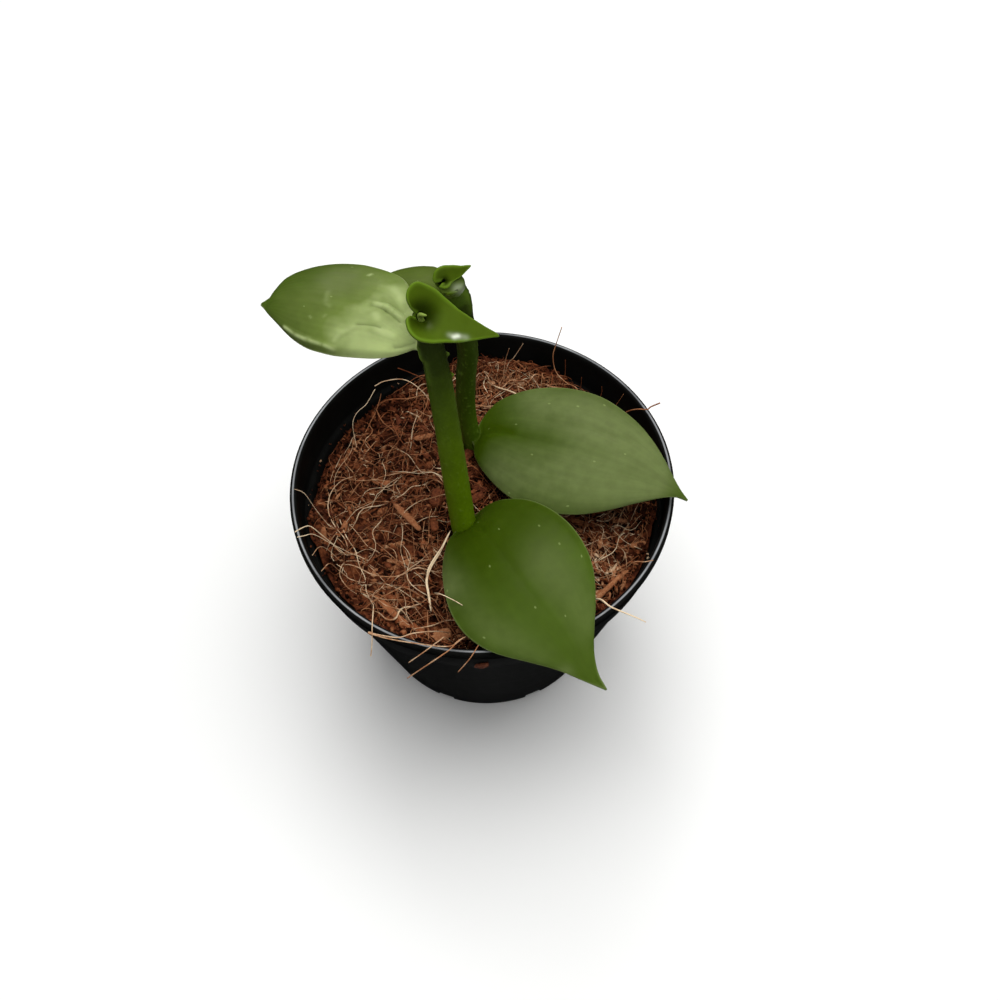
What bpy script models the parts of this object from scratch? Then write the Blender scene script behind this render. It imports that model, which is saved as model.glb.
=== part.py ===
"""Potted vanilla orchid: two leafy cuttings rooted in coir and bark, in a thin black nursery pot.

Metres, +Z up. The origin is the centre of the pot's base, on the surface that the pot stands on.
-Y is the front, the side that the taller cutting and its broad lower leaf lean over.
"""

import math

import bmesh
import bpy
import numpy as np

MM = 0.001
CLEARANCE = 0.3 * MM

# Pot: a thin nursery pot with a rolled rim, a stacking shoulder and drain holes
POT_HEIGHT = 86.0 * MM
RIM_RADIUS = 60.0 * MM
RIM_DEPTH = 3.4 * MM
RIM_LIP = 2.2 * MM
WALL = 1.1 * MM
SHOULDER_HEIGHT = 73.0 * MM
SHOULDER_STEP = 1.8 * MM
WALL_TOP_RADIUS = 57.7 * MM
BAND_FOOT_RADIUS = 57.2 * MM
BASE_INNER_RADIUS = 38.9 * MM
FLOOR_TOP = 2.8 * MM
FLOOR_RAISE = 1.2 * MM
HUB_RADIUS = 12.0 * MM
FOOT_RING_RADIUS = 34.0 * MM
POT_SEGMENTS = 48
SLOT_COUNT = 8
SLOT_WIDTH = 6.0 * MM
SLOT_HEIGHT = 5.2 * MM
DRAIN_HOLES = 6
DRAIN_HOLE_RADIUS = 3.5 * MM
DRAIN_CIRCLE_RADIUS = 23.0 * MM

# Coir and bark: its top is a low mound with lumps, made of waves in random directions
SOIL_EDGE_HEIGHT = 70.5 * MM
SOIL_DOME = 2.6 * MM
SOIL_EDGE_RADIUS = 54.6 * MM
SOIL_RINGS = 15
SOIL_SEGMENTS = 48
LUMP_WAVES = 22
LUMP_LONGEST = 34.0 * MM
LUMP_SHORTEST = 7.0 * MM
LUMP_HEIGHT = 0.42 * MM

# Banks of coir that lie up over the pot's inner ledge: direction and half width in degrees, and share
COIR_BANKS = [(-171, 11, 0.9), (-118, 25, 1.0), (-3, 13, 0.85), (80, 36, 1.0)]
BANK_HEIGHT = 5.0 * MM
BANK_START = 0.84
BANK_REACH = 2.1 * MM
BANK_REACH_FROM = 0.7
LEDGE_ROOM = 0.45 * MM

# Strands and bark chips, half sunk in the coir
FIBRE_COUNT = 46
FIBRE_RADIUS = 0.42 * MM
FIBRE_TAPER = [1.1, 1.1, 1.0, 1.0, 0.95, 0.9, 0.75]
FIBRE_LENGTHS = (14.0 * MM, 34.0 * MM)
FIBRE_RISES = (0.9 * MM, 2.8 * MM)
FIBRE_SUNK = 1.8 * MM
CHIP_COUNT = 16
CHIP_LENGTHS = (2.6 * MM, 5.0 * MM)
CHIP_WIDTHS = (1.4 * MM, 2.4 * MM)
CHIP_THICKNESSES = (0.8 * MM, 1.3 * MM)
STEM_ROOM = 1.6 * MM
LEAF_ROOM = 3.6 * MM
WALL_ROOM = 1.4 * MM

# Stems, from the buried end to the tip: points and radii in millimetres
FRONT_STEM = [(-4.9, -13.6, 46.0), (-5.2, -12.6, 58.0), (-5.8, -11.2, 72.0), (-7.1, -8.5, 90.0),
              (-8.7, -4.5, 115.0), (-10.5, -0.3, 140.0), (-12.5, 2.6, 154.6)]
FRONT_STEM_RADII = [3.6, 3.8, 3.85, 3.9, 3.75, 3.55, 3.2]
BACK_STEM = [(-0.6, 20.4, 46.0), (-1.5, 21.3, 58.0), (-2.9, 22.6, 73.0), (-4.5, 23.8, 90.0),
             (-4.0, 24.3, 105.0), (-3.0, 24.4, 120.0), (-4.2, 24.3, 134.0), (-4.9, 24.4, 142.0),
             (-6.1, 24.5, 147.2)]
BACK_STEM_RADII = [2.9, 3.0, 3.05, 3.1, 3.1, 3.15, 3.5, 3.75, 3.5]
STEM_SIDES = 12
STEM_RINGS = 22

# Hole in the coir round each stem: it follows the stem's lowest points
BURIED_POINTS = 4
HOLE_RINGS = 9
HOLE_ROOM = 0.5 * MM

# Leaves: the margins on the left and the right, seen from the stem, from base to tip in millimetres.
# clasp is where the base holds its stem: the height, the direction that the leaf leaves in, and how
# far round the stem its base reaches to the left and the right, in degrees.
# advance bows each row of the blade towards the tip, and arch lifts its middle.
LOWER_FRONT_LEAF = {
    "clasp": (77.2, -56, 88, 80),
    "left": [(-1.4, -7.6, 78.8), (2.3, -6.0, 81.0), (7.1, -5.3, 82.6), (14.0, -7.4, 85.5),
             (20.7, -12.7, 88.5), (26.7, -20.4, 91.0), (30.8, -29.7, 92.6), (32.3, -38.2, 93.2),
             (32.2, -47.0, 93.0), (31.4, -54.6, 92.2), (30.9, -61.5, 90.6), (31.8, -67.3, 88.8)],
    "right": [(-9.0, -14.0, 77.4), (-11.0, -18.0, 78.8), (-12.3, -24.5, 80.6), (-12.6, -31.0, 82.5),
              (-11.7, -39.0, 84.7), (-9.7, -46.6, 86.5), (-6.2, -53.2, 87.7), (-1.3, -58.0, 88.3),
              (4.3, -61.1, 88.7), (12.8, -63.9, 89.0), (20.6, -66.5, 89.0), (27.6, -69.6, 88.2)],
    "tip": (33.9, -71.8, 86.8),
    "advance": 4.2,
    "arch": 1.6,
    "thickness": 1.3,
}
LOWER_BACK_LEAF = {
    "clasp": (77.6, -30, 85, 62),
    "left": [(-0.6, 26.6, 78.6), (2.2, 30.0, 80.6), (6.4, 32.8, 83.0), (13.0, 33.8, 86.0),
             (20.3, 33.0, 89.0), (29.6, 29.8, 92.3), (39.2, 24.4, 94.2), (47.6, 15.9, 94.9),
             (52.8, 8.1, 94.7), (56.2, 1.0, 93.7), (58.2, -4.2, 92.7), (60.3, -8.8, 91.7)],
    "right": [(-2.6, 18.6, 77.3), (-2.4, 14.8, 77.4), (-0.4, 9.2, 78.1), (3.4, 2.8, 79.3),
              (8.2, -3.4, 80.9), (14.8, -8.8, 83.0), (22.0, -12.4, 85.0), (30.0, -14.2, 86.9),
              (38.6, -13.9, 88.5), (47.0, -12.5, 89.8), (54.2, -11.4, 90.6), (58.6, -11.5, 90.9)],
    "tip": (62.4, -12.5, 90.5),
    "advance": 4.0,
    "arch": 1.8,
    "thickness": 1.3,
}
UPPER_FRONT_LEAF = {
    "clasp": (147.2, 140, 50, 60),
    "left": [(-16.2, 2.6, 147.5), (-18.4, 1.8, 147.8), (-21.6, 0.5, 148.0), (-26.6, -0.1, 147.9),
             (-32.4, 0.4, 147.8), (-38.1, 1.1, 147.9), (-42.5, 2.4, 148.0), (-46.2, 4.0, 148.0),
             (-49.7, 6.7, 147.9), (-52.7, 10.0, 147.8), (-55.3, 13.8, 147.5), (-57.6, 17.5, 147.2)],
    "right": [(-14.4, 7.6, 149.0), (-16.4, 12.8, 150.2), (-17.2, 18.0, 151.0), (-18.2, 22.3, 151.4),
              (-20.2, 25.1, 151.6), (-23.2, 26.9, 151.8), (-26.8, 28.2, 152.2), (-31.7, 29.2, 152.8),
              (-38.6, 29.8, 152.6), (-45.4, 29.5, 151.6), (-51.5, 27.8, 150.2), (-54.8, 24.2, 149.2),
              (-56.4, 21.8, 148.4)],
    "tip": (-59.4, 20.3, 147.0),
    "advance": 1.5,
    "arch": 2.6,
    "thickness": 1.2,
}
UPPER_BACK_LEAF = {
    "clasp": (140.6, 172, 60, 60),
    "left": [(-9.8, 21.4, 141.0), (-13.4, 19.6, 141.4), (-18.6, 18.8, 141.2), (-24.2, 19.6, 140.0),
             (-29.6, 21.6, 138.4), (-34.0, 24.6, 136.4)],
    "right": [(-8.4, 29.2, 142.4), (-8.6, 33.2, 143.0), (-10.8, 36.2, 143.2), (-14.0, 37.1, 143.0),
              (-17.7, 37.3, 142.6), (-21.7, 37.1, 141.8), (-24.4, 36.6, 141.0), (-27.8, 35.5, 139.6),
              (-31.0, 33.8, 137.8), (-34.4, 31.4, 136.0)],
    "tip": (-37.6, 28.4, 134.6),
    "advance": 1.5,
    "arch": 1.6,
    "thickness": 1.1,
}
LEAF_ROWS = 18
LEAF_COLUMNS = 12
LEAF_EDGE_SHARE = 0.55
LEAF_TIP_HALF_WIDTH = 0.5
CLASP_SHARE = 0.2
CLASP_STAND_OFF = 0.95

# Young leaves: a split sheath round the growing tip that opens into a heart, tip first.
# outline is (angle from the tip's direction in degrees, distance from the throat in mm), near side first.
YOUNG_FRONT_LEAF = {
    "throat": (-13.4, 3.7, 160.6),
    "tip": (6.4, 1.4, 153.7),
    "far_side": (0.08, 0.93, 0.36),
    "outline": [(-164, 3.2), (-150, 4.5), (-129, 5.6), (-108, 6.8), (-87, 7.7), (-64, 8.2), (-38, 9.6),
                (-18, 13.3), (-8, 16.6), (-3, 19.2), (0, 21.2), (3, 19.0), (6, 16.3), (13, 12.7), (27, 9.5),
                (54, 7.6), (92, 7.8), (115, 8.7), (134, 7.7), (149, 6.0), (158, 4.2), (164, 3.3)],
    "throat_radius": 1.9,
    "depth": 2.4,
    "depth_reach": 2.4,
    "lift": 1.3,
    "thickness": 0.95,
}
YOUNG_BACK_LEAF = {
    "throat": (-8.4, 23.15, 151.6),
    "tip": (-1.0, 27.25, 152.9),
    "far_side": (-0.2, 0.6, 0.75),
    "outline": [(-162, 2.1), (-120, 2.1), (-60, 2.2), (-38, 2.5), (-24, 3.4), (-15, 4.8), (-6, 6.8), (0, 8.8),
                (5, 8.0), (15, 6.2), (41, 4.7), (68, 4.3), (95, 4.1), (123, 3.6), (146, 3.2), (162, 2.6)],
    "throat_radius": 1.8,
    "depth": 2.2,
    "depth_reach": 1.5,
    "lift": 0.6,
    "thickness": 0.9,
}
YOUNG_LEAF_ROWS = 8
YOUNG_LEAF_COLUMNS = 26
GROWING_TIP_PATH = [(-13.3, 3.6, 156.4), (-14.0, 4.6, 158.4), (-13.7, 4.2, 160.2), (-13.1, 3.6, 161.5)]
GROWING_TIP_RADIUS = 0.85 * MM

# Each cutting's stem in metres
FRONT = (np.array(FRONT_STEM) * MM, np.array(FRONT_STEM_RADII) * MM)
BACK = (np.array(BACK_STEM) * MM, np.array(BACK_STEM_RADII) * MM)


def clear_scene():
    """Remove whatever the file holds before the model is made."""
    for obj in list(bpy.data.objects):
        bpy.data.objects.remove(obj, do_unlink=True)


def make_material(name, colour, roughness):
    """A Principled material of one colour."""
    material = bpy.data.materials.new(name)
    material.use_nodes = True
    shader = material.node_tree.nodes["Principled BSDF"]
    shader.inputs["Base Color"].default_value = (*colour, 1.0)
    shader.inputs["Roughness"].default_value = roughness
    shader.inputs["Metallic"].default_value = 0.0
    return material


def add_object(name, mesh, material):
    """Link a mesh to the scene as one named object, shaded smooth up to 40 degrees."""
    obj = bpy.data.objects.new(name, mesh)
    bpy.context.scene.collection.objects.link(obj)
    if material is not None:
        mesh.materials.append(material)
    mesh.shade_smooth()
    mesh.set_sharp_from_angle(angle=math.radians(40))
    return obj


def apply_modifiers(obj):
    """Turn the object's evaluated shape into its own mesh."""
    graph = bpy.context.evaluated_depsgraph_get()
    mesh = bpy.data.meshes.new_from_object(obj.evaluated_get(graph))
    obj.modifiers.clear()
    obj.data = mesh


def cut_away(obj, cutter):
    """Take the cutter out of the object, and drop the cutter."""
    modifier = obj.modifiers.new("cut", "BOOLEAN")
    modifier.operation = "DIFFERENCE"
    modifier.solver = "EXACT"
    modifier.object = cutter
    apply_modifiers(obj)
    bpy.data.objects.remove(cutter, do_unlink=True)


def keep_main_body(obj):
    """Drop the loose scraps and sealed hollows that a union can leave, and keep the largest body."""
    bm = bmesh.new()
    bm.from_mesh(obj.data)
    bodies, left = [], set(bm.verts)
    while left:
        body, front = set(), [left.pop()]
        while front:
            vertex = front.pop()
            body.add(vertex)
            for edge in vertex.link_edges:
                other = edge.other_vert(vertex)
                if other in left:
                    left.remove(other)
                    front.append(other)
        bodies.append(body)
    bodies.sort(key=len)
    scraps = [vertex for body in bodies[:-1] for vertex in body]
    bmesh.ops.delete(bm, geom=scraps, context="VERTS")
    bm.to_mesh(obj.data)
    bm.free()


def smooth_path(points, count):
    """Points at equal steps of a Catmull-Rom curve through the given ones, whose ends run straight on."""
    points = np.asarray(points, float)
    padded = np.vstack([2 * points[0] - points[1], points, 2 * points[-1] - points[-2]])
    along = np.linspace(0, len(points) - 1, count)
    first = np.minimum(along.astype(int), len(points) - 2)
    t = (along - first)[:, None]
    a, b, c, d = (padded[first + k] for k in range(4))
    return 0.5 * (
        2 * b + (c - a) * t + (2 * a - 5 * b + 4 * c - d) * t**2 + (3 * b - a - 3 * c + d) * t**3
    )


def unit(vectors):
    """The vectors at length one."""
    return vectors / np.linalg.norm(vectors, axis=-1, keepdims=True)


def grid_mesh(name, grid, closed=False):
    """A mesh of quads over a grid of points, closed on itself across the columns if asked."""
    rows, columns = grid.shape[:2]
    bm = bmesh.new()
    verts = [[bm.verts.new(point) for point in row] for row in grid]
    last = columns if closed else columns - 1
    for i in range(rows - 1):
        for j in range(last):
            k = (j + 1) % columns
            bm.faces.new((verts[i][j], verts[i][k], verts[i + 1][k], verts[i + 1][j]))
    if closed:
        bm.faces.new(reversed(verts[0]))
        bm.faces.new(verts[-1])
    bmesh.ops.recalc_face_normals(bm, faces=bm.faces)
    mesh = bpy.data.meshes.new(name)
    bm.to_mesh(mesh)
    bm.free()
    return mesh


def swept_rings(centres, radii, sides):
    """Rings of points square to a path, turned as little as possible from one to the next."""
    tangents = unit(np.gradient(centres, axis=0))
    side = np.cross(tangents[0], (0.31, 0.95, 0.05))
    angles = np.arange(sides) * 2 * math.pi / sides
    rings = []
    for centre, tangent, radius in zip(centres, tangents, radii):
        side = unit(side - tangent * (side @ tangent))
        other = np.cross(tangent, side)
        spokes = np.cos(angles)[:, None] * side + np.sin(angles)[:, None] * other
        rings.append(centre + radius * spokes)
    return np.array(rings)


def tube_mesh(name, centres, radii, sides):
    """A round closed bar along a path."""
    return grid_mesh(name, swept_rings(centres, radii, sides), closed=True)


def turned_mesh(name, profile, segments):
    """A solid of revolution: the profile is (radius, height) from axis to axis, turned about Z."""
    bm = bmesh.new()
    verts = [bm.verts.new((radius, 0.0, height)) for radius, height in profile]
    edges = [bm.edges.new(pair) for pair in zip(verts, verts[1:])]
    bmesh.ops.spin(
        bm, geom=verts + edges, cent=(0, 0, 0), axis=(0, 0, 1), angle=2 * math.pi, steps=segments
    )
    bmesh.ops.remove_doubles(bm, verts=bm.verts, dist=1e-6)
    bmesh.ops.recalc_face_normals(bm, faces=bm.faces)
    mesh = bpy.data.meshes.new(name)
    bm.to_mesh(mesh)
    bm.free()
    return mesh


def arc(centre, radius, start, end, steps):
    """Points of an arc in the profile plane, angles in degrees."""
    angles = np.radians(np.linspace(start, end, steps))
    return [(centre[0] + radius * math.cos(a), centre[1] + radius * math.sin(a)) for a in angles]


def inner_wall():
    """The pot's inner side from its floor to under the rim, as (radius, height)."""
    step_foot = BAND_FOOT_RADIUS - SHOULDER_STEP
    return [
        (BASE_INNER_RADIUS - 2.0 * MM, FLOOR_TOP),
        (BASE_INNER_RADIUS - 0.6 * MM, FLOOR_TOP + 0.6 * MM),
        (BASE_INNER_RADIUS, FLOOR_TOP + 2.0 * MM),
        (step_foot, SHOULDER_HEIGHT - 1.0 * MM),
        (step_foot + 0.3 * MM, SHOULDER_HEIGHT - 0.2 * MM),
        (BAND_FOOT_RADIUS - 0.3 * MM, SHOULDER_HEIGHT),
        (BAND_FOOT_RADIUS, SHOULDER_HEIGHT + 0.8 * MM),
    ]


def pot_profile():
    """The pot's section from the floor's middle, up the inside, over the rim and down to the base."""
    lip = RIM_LIP / 2
    rim_centre = (RIM_RADIUS - lip, POT_HEIGHT - lip)
    outer_foot = BASE_INNER_RADIUS + WALL
    step_foot = BAND_FOOT_RADIUS - SHOULDER_STEP + WALL
    profile = [(0, FLOOR_TOP), *inner_wall(), (WALL_TOP_RADIUS, POT_HEIGHT - 1.6 * MM)]
    profile += arc(rim_centre, lip, 150, 0, 6)
    profile += [
        (RIM_RADIUS, POT_HEIGHT - RIM_DEPTH + 0.3 * MM),
        (RIM_RADIUS - 0.3 * MM, POT_HEIGHT - RIM_DEPTH),
        (WALL_TOP_RADIUS + WALL, POT_HEIGHT - RIM_DEPTH),
        (BAND_FOOT_RADIUS + WALL, SHOULDER_HEIGHT - 0.2 * MM),
        (BAND_FOOT_RADIUS + WALL - 0.5 * MM, SHOULDER_HEIGHT - 1.0 * MM),
        (step_foot, SHOULDER_HEIGHT - 1.3 * MM),
        (outer_foot, 2.2 * MM),
        (outer_foot - 0.5 * MM, 0.6 * MM),
        (outer_foot - 1.4 * MM, 0),
        (FOOT_RING_RADIUS, 0),
        (FOOT_RING_RADIUS - 1.2 * MM, FLOOR_RAISE),
        (HUB_RADIUS + 1.2 * MM, FLOOR_RAISE),
        (HUB_RADIUS, 0),
        (0, 0),
    ]
    return profile


def slot_cutter(angle):
    """A rounded bar through the corner of the base, pointing away from the axis."""
    start, end = FOOT_RING_RADIUS + 1.6 * MM, BASE_INNER_RADIUS + 4.0 * MM
    half = SLOT_WIDTH / 2
    section = [(-half, -2.0 * MM), (half, -2.0 * MM), (half, SLOT_HEIGHT - 1.2 * MM)]
    section += [(half - 1.2 * MM, SLOT_HEIGHT), (-half + 1.2 * MM, SLOT_HEIGHT), (-half, SLOT_HEIGHT - 1.2 * MM)]
    out = np.array([math.cos(angle), math.sin(angle), 0])
    across = np.array([-math.sin(angle), math.cos(angle), 0])
    up = np.array([0, 0, 1.0])
    rings = [[out * reach + across * a + up * b for a, b in section] for reach in (start, end)]
    return grid_mesh("slot_cutter", np.array(rings), closed=True)


def drain_cutter(angle):
    """A round bar down through the raised ring of the floor."""
    x, y = DRAIN_CIRCLE_RADIUS * math.cos(angle), DRAIN_CIRCLE_RADIUS * math.sin(angle)
    ends = np.array([(x, y, -1.0 * MM), (x, y, FLOOR_TOP + 1.0 * MM)])
    return tube_mesh("drain_cutter", ends, [DRAIN_HOLE_RADIUS] * 2, 14)


def joined(name, meshes):
    """One object that holds all these meshes side by side."""
    bm = bmesh.new()
    for mesh in meshes:
        bm.from_mesh(mesh)
    whole = bpy.data.meshes.new(name)
    bm.to_mesh(whole)
    bm.free()
    return add_object(name, whole, None)


def build_pot(material):
    """The pot, with its drain holes and slots cut."""
    pot = add_object("pot", turned_mesh("pot", pot_profile(), POT_SEGMENTS), material)
    turn = 2 * math.pi / SLOT_COUNT
    cutters = [slot_cutter((k + 0.5) * turn) for k in range(SLOT_COUNT)]
    cutters += [drain_cutter((k + 0.25) * 2 * math.pi / DRAIN_HOLES) for k in range(DRAIN_HOLES)]
    cut_away(pot, joined("pot_cutter", cutters))
    return pot


def lump_waves():
    """Wave vectors, phases and heights of the lumps in the coir, longest first."""
    rng = np.random.default_rng(41)
    lengths = np.geomspace(LUMP_LONGEST, LUMP_SHORTEST, LUMP_WAVES)
    headings = rng.uniform(0, 2 * math.pi, LUMP_WAVES)
    vectors = 2 * math.pi / lengths[:, None] * np.c_[np.cos(headings), np.sin(headings)]
    phases = rng.uniform(0, 2 * math.pi, LUMP_WAVES)
    heights = LUMP_HEIGHT * (lengths / LUMP_LONGEST) ** 0.45
    return vectors, phases, heights


LUMPS = lump_waves()


def bank_share(angle):
    """How much of a bank stands in this direction, from 0 to 1."""
    turn = np.degrees(angle)[..., None] - np.array([bank[0] for bank in COIR_BANKS])
    turn = (turn + 180) % 360 - 180
    half_widths, shares = np.array([bank[1:] for bank in COIR_BANKS]).T
    return (shares * np.exp(-((turn / half_widths) ** 4))).max(-1)


def soil_height(x, y):
    """Height of the coir's top: a low mound and the banks, plus lumps that fade towards the wall."""
    x, y = np.asarray(x, float), np.asarray(y, float)
    share = np.clip(np.hypot(x, y) / SOIL_EDGE_RADIUS, 0, 1)
    vectors, phases, heights = LUMPS
    waves = np.sin(x[..., None] * vectors[:, 0] + y[..., None] * vectors[:, 1] + phases)
    mound = SOIL_EDGE_HEIGHT + SOIL_DOME * (1 - share**2.4)
    rise = np.clip((share - BANK_START) / (1 - BANK_START), 0, 1)
    bank = BANK_HEIGHT * bank_share(np.arctan2(y, x)) * rise * rise * (3 - 2 * rise)
    return mound + bank + (waves * heights).sum(-1) * (1 - 0.75 * share**6)


def soil_body():
    """The coir as a plug that fills the pot below its top, which follows soil_height. Where a bank stands
    high enough, its rim reaches out over the pot's ledge."""
    angles = np.arange(SOIL_SEGMENTS) * 2 * math.pi / SOIL_SEGMENTS
    spokes = np.stack([np.cos(angles), np.sin(angles), np.zeros_like(angles)], -1)
    above_ledge = SHOULDER_HEIGHT + LEDGE_ROOM
    share = np.clip((bank_share(angles) - BANK_REACH_FROM) / (1 - BANK_REACH_FROM), 0, 1)
    edge = soil_height(*(SOIL_EDGE_RADIUS * spokes[:, :2]).T)
    side = [(radius - CLEARANCE, height + CLEARANCE) for radius, height in inner_wall()[:3]]
    side = [(side[0][0] * 0.3, side[0][1]), *side, (SOIL_EDGE_RADIUS - 0.2 * MM, SOIL_EDGE_HEIGHT - 2.4 * MM)]
    grid = [radius * spokes + np.array([0, 0, height]) for radius, height in side]
    for reach, drop in ((0.0, 1.1 * MM), (1.0, 0.8 * MM), (0.85, 0.0)):
        ring = (SOIL_EDGE_RADIUS + BANK_REACH * reach * share)[:, None] * spokes
        ring[:, 2] = np.where(share > 0, np.maximum(edge - drop, above_ledge), edge - drop)
        grid.append(ring)
    for share in np.linspace(1, 0, SOIL_RINGS + 1)[1:-1]:
        ring = SOIL_EDGE_RADIUS * share * spokes
        ring[:, 2] = soil_height(ring[:, 0], ring[:, 1])
        grid.append(ring)
    return grid_mesh("soil_body", np.array(grid), closed=True)


def keeps_clear(points):
    """True if a strand of coir stays off the stems, the pot's wall and the leaves just above it."""
    for (stem, radii), leaf in ((FRONT, LOWER_FRONT_LEAF), (BACK, LOWER_BACK_LEAF)):
        axis = smooth_path(stem, 40)
        if np.linalg.norm(points[:, None] - axis[None], axis=2).min() < radii.max() + STEM_ROOM:
            return False
        blade = blade_grid(leaf, stem, radii, 14, 9).reshape(-1, 3)
        if np.linalg.norm(points[:, None] - blade[None], axis=2).min() < LEAF_ROOM:
            return False
    return np.hypot(points[:, 0], points[:, 1]).max() < SOIL_EDGE_RADIUS - WALL_ROOM


def lying_strand(rng):
    """A strand that leaves the coir, bows over it and dives back or ends free."""
    reach = SOIL_EDGE_RADIUS * math.sqrt(rng.uniform(0.0, 0.92))
    angle, heading = rng.uniform(0, 2 * math.pi, 2)
    length = rng.uniform(*FIBRE_LENGTHS)
    bend = rng.uniform(-1.5, 1.5)
    rise = rng.uniform(*FIBRE_RISES)
    free_end = rng.uniform(0, 1) < 0.4
    steps = np.linspace(0, 1, len(FIBRE_TAPER))
    turned = heading + bend * (steps - 0.5)
    walk = np.c_[np.cos(turned), np.sin(turned)] * (length / (len(steps) - 1))
    plan = np.array([reach * math.cos(angle), reach * math.sin(angle)]) + np.cumsum(walk, 0) - walk[:4].sum(0)
    height = np.sin(np.pi * steps ** (0.75 if free_end else 1.0) * (0.72 if free_end else 1.0)) * rise
    height[0] -= FIBRE_SUNK
    if not free_end:
        height[-1] -= FIBRE_SUNK
    return np.c_[plan, soil_height(plan[:, 0], plan[:, 1]) + height]


# Strands that stand up or hang over the rim, from root to free end.
# Each point is (direction from the axis in degrees, radius, height), clear of the pot's wall.
STRAY_STRANDS = [
    [(63, 50, 69.5), (63, 53, 75), (63, 54.6, 79), (62.8, 56, 84), (62.6, 57, 88.4), (62.4, 59, 95.4)],
    [(33, 49, 69.5), (33, 51.5, 77), (32, 53.6, 82.4), (29.4, 56.2, 87.2), (25.4, 58.6, 88.4),
     (23.9, 60.6, 88.2), (23.3, 62, 90.4)],
    [(-50.6, 47, 70), (-50.6, 49.6, 76.5), (-50.4, 53, 82.4), (-50.6, 56.2, 87.1), (-50.7, 59, 87.9),
     (-50.2, 62.4, 88.2), (-46.6, 68, 83.4)],
    [(-158, 50, 69.5), (-161, 51.6, 74), (-166, 53.2, 78), (-170, 54.2, 81)],
    [(-150, 49, 70), (-144, 52.6, 74.6), (-138, 54.9, 78), (-132.4, 56.1, 81.8), (-127, 57, 87.3),
     (-122.6, 60.4, 88.4), (-120.4, 62, 87), (-121, 64.8, 79.4)],
    [(-95, 48, 70), (-95.4, 51, 77.4), (-96.8, 54.8, 82.6), (-98, 56.7, 87.3), (-99.8, 59.8, 88),
     (-104.4, 63.8, 85.6), (-109.8, 67.2, 78.8)],
    [(-101, 49, 70), (-101, 52.6, 78.4), (-102, 55.4, 84), (-103, 57, 87.5), (-106.2, 61.2, 87.4),
     (-110, 64.2, 83.4)],
    [(-91, 49, 70), (-90.6, 53.6, 79), (-91, 56.4, 85.6), (-92, 58, 87.6), (-94, 61.4, 87), (-97, 64, 83)],
    [(112, 47.6, 70), (112.2, 50, 76.6), (118, 52.6, 81.4), (123.4, 54.2, 84.6)],
    [(119, 46, 70), (118.6, 49.4, 77), (124.4, 52, 79.4), (130.6, 53.4, 80.6)],
    [(135, 48, 70), (135, 50.6, 76), (141, 51.2, 77.4), (148.4, 49.6, 77.8)],
    [(-124, 20.4, 71.4), (-123, 25, 76.2), (-121, 31, 77.6), (-118, 37, 77), (-113, 44.4, 74), (-111, 47, 70.4)],
]


def stray_strand(points):
    """A strand through points given by direction, radius and height."""
    direction, radius, height = np.array(points, float).T
    direction = np.radians(direction)
    path = np.stack([radius * np.cos(direction), radius * np.sin(direction), height], -1) * MM
    count = 2 * len(points) - 1
    return tube_mesh("stray_strand", smooth_path(path, count), FIBRE_RADIUS * np.linspace(1.15, 0.75, count), 3)


def bark_chip(rng):
    """A flat splinter of bark that lies half sunk in the coir."""
    reach = SOIL_EDGE_RADIUS * 0.9 * math.sqrt(rng.uniform(0.0, 0.9))
    angle, heading = rng.uniform(0, 2 * math.pi, 2)
    size = np.array([rng.uniform(*limits) for limits in (CHIP_LENGTHS, CHIP_WIDTHS, CHIP_THICKNESSES)])
    centre = np.array([reach * math.cos(angle), reach * math.sin(angle)])
    centre = np.array([*centre, soil_height(*centre) + 0.1 * MM])
    tilt = rng.uniform(-0.3, 0.3)
    along = np.array([math.cos(heading) * math.cos(tilt), math.sin(heading) * math.cos(tilt), math.sin(tilt)])
    across = np.array([-math.sin(heading), math.cos(heading), 0])
    up = np.cross(along, across)
    ends = []
    for step, share in ((-1, 0.55), (-0.5, 1.0), (0.6, 0.9), (1, 0.4)):
        corners = ((-1, -1), (1, -1), (0.8, 1), (-0.9, 0.8))
        ends.append([
            centre + along * size[0] * step + across * size[1] * share * a + up * size[2] * share * b
            for a, b in corners
        ])
    return np.array(ends)


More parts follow.
